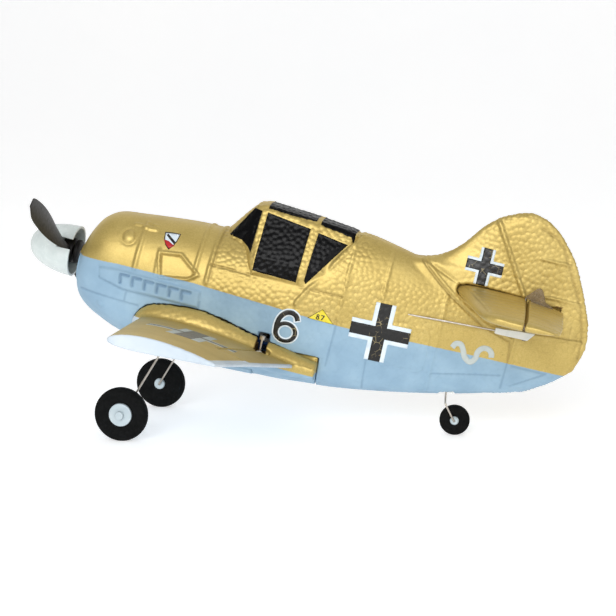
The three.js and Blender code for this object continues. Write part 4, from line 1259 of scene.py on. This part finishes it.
for side, sign in SIDES.items():
    centre = (WHEEL_X, sign * WHEEL_Y, WHEEL_Z)
    body = f"{side}_wheel"
    fitted(tyre(f"main_foam_tyre_{side}", 14, 3, 6.3, 3.1, centre, sign), body, "tyre_foam",
           f"main_tyre_{side}", angle=50)
    hub = [(0.65, -4.1), (2.85, -4.1), (2.85, -2.6), (6, -2.6), (6, 2.75), (5.2, 3.0), (0.65, 3.3)]
    hub = rounded(hub, [0.05, 0.3, 0.1, 0.2, 0.4, 0.3, 0.05])
    hub = revolved(f"main_wheel_hub_{side}", hub, centre, (0, sign, 0))
    fitted(hub, body, "hub_plastic", f"main_hub_{side}")
    cap = [(0.02, 5.2), (2.2, 5.2), (2.2, 3.6), (0.55, 3.6), (0.55, 4.9), (0.02, 4.9)]
    cap = rounded(cap, [0.01, 0.5, 0.1, 0.05, 0.05, 0.01])
    cap = revolved(f"axle_cap_{side}", cap, centre, (0, sign, 0), 48)
    fitted(cap, "airframe", "hub_plastic", f"wheel_cap_{side}")
    tx, tz = LEG_TOP
    leg = tube(f"gear_leg_wire_{side}", [
        (tx, sign * LEG_Y, tz + 4), (tx, sign * LEG_Y, tz), (WHEEL_X + 0.3, sign * LEG_Y, WHEEL_Z + 0.6),
        (WHEEL_X, sign * (LEG_Y + 1.2), WHEEL_Z), (WHEEL_X, sign * (WHEEL_Y + 4.6), WHEEL_Z)], 0.5)
    fitted(leg, "airframe", "steel_wire", f"gear_leg_{side}")
centre = (TAIL_WHEEL_X, 0, TAIL_WHEEL_Z)
fitted(tyre("tail_foam_tyre", 7.95, 2.5, 3.4, 2.3, centre, 1), "tail_wheel", "tyre_foam",
       "tail_tyre", angle=50)
hub = [
    (0.6, -3.7), (1.7, -3.7), (1.7, -2.5), (2.1, -2.5), (2.1, -2.1), (3.1, -2.1), (3.1, 2.7), (1.7, 2.7),
    (1.7, 3.5), (0.6, 3.5)]
hub = revolved("tail_wheel_hub", rounded(hub, 0.12), centre, (0, 1, 0))
fitted(hub, "tail_wheel", "hub_plastic", "tail_hub")
leg = tube("tail_gear_leg", [
    (209.5, 0, -22), (209.5, 0, -27), (210.4, -4.3, -30.6), (TAIL_WHEEL_X, -4.5, TAIL_WHEEL_Z),
    (TAIL_WHEEL_X, 4.6, TAIL_WHEEL_Z)], 0.5)
fitted(leg, "airframe", "steel_wire", "tail_gear_wire")

# ---- Control linkages -----------------------------------------------------------------------

ROD_Y, ROD_FRONT, ROD_BACK = -13.2, (141, 9.6), (241, 15.8)


def on_rod(x):
    return x, ROD_Y, float(np.interp(x, *zip(ROD_FRONT, ROD_BACK)))


horn = [
    (240, 28), (239.2, 14), (240.4, 12.6), (242, 12.6), (243.4, 14), (248.6, 24.2), (251.4, 25),
    (251.4, 32.4), (247.2, 34.4), (244.6, 39.8), (243, 40.9), (241.6, 40.2), (236.8, 34.9),
    (236.8, 34.3), (239.8, 34.1)]
horn = plate("elevator_horn_plate", rounded(horn, 0.5, 3), -11.5, -10.3, 0.12)
fitted(horn, "elevators", "clear_plastic", "elevator_horn")
rod = tube("elevator_rod", [(141, -10, ROD_FRONT[1]), on_rod(141), on_rod(190), on_rod(236)], 0.5)
fitted(rod, "pushrod", "steel_wire", "elevator_pushrod")
clevis = [
    (226, 13.4), (230, 13.3), (237, 13.5), (242.9, 13.6), (246, 17.8), (237, 17.4), (230, 16.6),
    (226, 16.3)]
pin_x, pin_z = ROD_BACK
clevis = joined("elevator_clevis_moulding",
                plate("clevis_fork", rounded(clevis, 0.5, 3), -14.4, -12, 0.3),
                tube("clevis_pin", [(pin_x, -14.2, pin_z), (pin_x, -9.8, pin_z)], 0.45))
fitted(clevis, "pushrod", "white_plastic", "elevator_clevis")
guide = tube("rod_guide", [on_rod(160), on_rod(170.4)], 1.3, bore=0.7)
fitted(guide, "airframe", "clear_plastic", "pushrod_guide")

AILERON_IN, AILERON_OUT = Vector((112.6, 33, -22.7)), Vector((103, 98, -12.9))
HORN_X, HORN_Y, HORN_TOP = 112.6, 27.5, -16.2


def hinge_point(y):
    return AILERON_IN.lerp(AILERON_OUT, (y - AILERON_IN.y) / (AILERON_OUT.y - AILERON_IN.y))


for side, sign in SIDES.items():
    def at(x, y, z):
        return Vector((x, sign * y, z))

    foot, root, elbow = hinge_point(29), hinge_point(HORN_Y), hinge_point(34)
    inner, outer = hinge_point(38), hinge_point(45)
    torque = tube(f"torque_rod_{side}", [
        at(HORN_X, HORN_Y, HORN_TOP), at(HORN_X, HORN_Y, root.z), at(*foot), at(*elbow),
        at(inner.x + 2.6, inner.y, inner.z), at(outer.x + 2.6, outer.y, outer.z)], 0.5, 0.8)
    fitted(torque, f"{side}_aileron", "steel_wire", f"aileron_torque_rod_{side}")
    bearing = tube(f"torque_bearing_{side}", [
        at(*hinge_point(29.8)), at(*hinge_point(33.2))], 1.5, bore=0.75)
    fitted(bearing, "airframe", "white_plastic")
    link_z = HORN_TOP + 1.2
    bar = tube(f"link_bar_{side}", [
        at(97, 9, link_z + 0.6), at(106, 10.6, link_z + 0.4), at(HORN_X, 15.5, link_z),
        at(HORN_X, HORN_Y - 1, link_z)], 0.42)
    eye = tube(f"link_eye_{side}", [
        at(HORN_X, HORN_Y, link_z - 1.2), at(HORN_X, HORN_Y, link_z + 0.8)], 1.35, bore=0.85)
    fitted(joined(f"aileron_rod_{side}", bar, eye), f"{side}_aileron_link", "white_plastic",
           f"aileron_link_{side}", look=MATERIALS["steel_wire"])

# ---- Stage ----------------------------------------------------------------------------------


def stage_material():
    m = Nodes("floor_paper", Roughness=0.9, Emission_Color=(1, 1, 1, 1), Emission_Strength=0.42)
    m.link(m.ramp(m.noise(3, 2), [(0.3, (0.86, 0.865, 0.87)), (0.7, (0.88, 0.88, 0.88))]), "Base Color")
    return m.material


def make_stage():
    mesh = bpy.data.meshes.new("floor")
    work = bmesh.new()
    # A floor that curves up into a wall behind the plane
    turns = np.linspace(0, math.pi / 2, 16)
    curved = [(1.2 + 0.8 * math.sin(t), 0.8 - 0.8 * math.cos(t)) for t in turns]
    profile = [(-3, 0), *curved, (2, 4)]
    rows = [[work.verts.new((x, y, z)) for x in (-5, 5)] for y, z in profile]
    for (a, b), (c, d) in zip(rows, rows[1:]):
        work.faces.new([a, b, d, c])
    work.to_mesh(mesh)
    work.free()
    floor = linked("floor", mesh)
    mesh.materials.append(stage_material())
    mesh.shade_smooth()
    floor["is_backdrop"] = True


def area_light(name, place, size, power):
    """A lamp that faces the middle of the plane."""
    light = bpy.data.lights.new(name, "AREA")
    light.shape = "RECTANGLE"
    light.size, light.size_y = size
    light.energy = power
    obj = linked(name, light)
    obj.location = place
    obj.rotation_euler = (Vector((0, 0, 0.05)) - Vector(place)).to_track_quat("-Z", "Y").to_euler()


make_stage()
area_light("key", (-0.1, -1.3, 0.65), (1.0, 0.6), 11.5)
area_light("top", (0.1, 0.1, 1.3), (1.2, 0.8), 0.8)
area_light("front_fill", (0.9, -1.2, 0.5), (0.8, 0.8), 3)
world = bpy.data.worlds.new("studio")
world.use_nodes = True
world.node_tree.nodes["Background"].inputs["Color"].default_value = (1, 1, 1, 1)
world.node_tree.nodes["Background"].inputs["Strength"].default_value = 0.36
bpy.context.scene.world = world
bpy.context.scene.view_settings.view_transform = "Standard"

camera = bpy.data.cameras.new("camera")
camera.lens = 82.24
camera.sensor_width = 36
camera.clip_start = 0.01
viewer = linked("camera", camera)
# Camera's place, its turn away from straight abeam and its dip below the horizon
PLACE = (0.1167, -0.7225, 0.1797)
TURN, DIP = 0.1567, 0.1553
forward = Vector((-math.sin(TURN) * math.cos(DIP), math.cos(TURN) * math.cos(DIP), -math.sin(DIP)))
right = Vector((math.cos(TURN), math.sin(TURN), 0))
viewer.matrix_world = Matrix.Translation(PLACE) @ Matrix(
    (right, right.cross(forward), -forward)).transposed().to_4x4()
bpy.context.scene.camera = viewer

corners = [[list(corner) for corner in box] for box in (cad_bounds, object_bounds())]
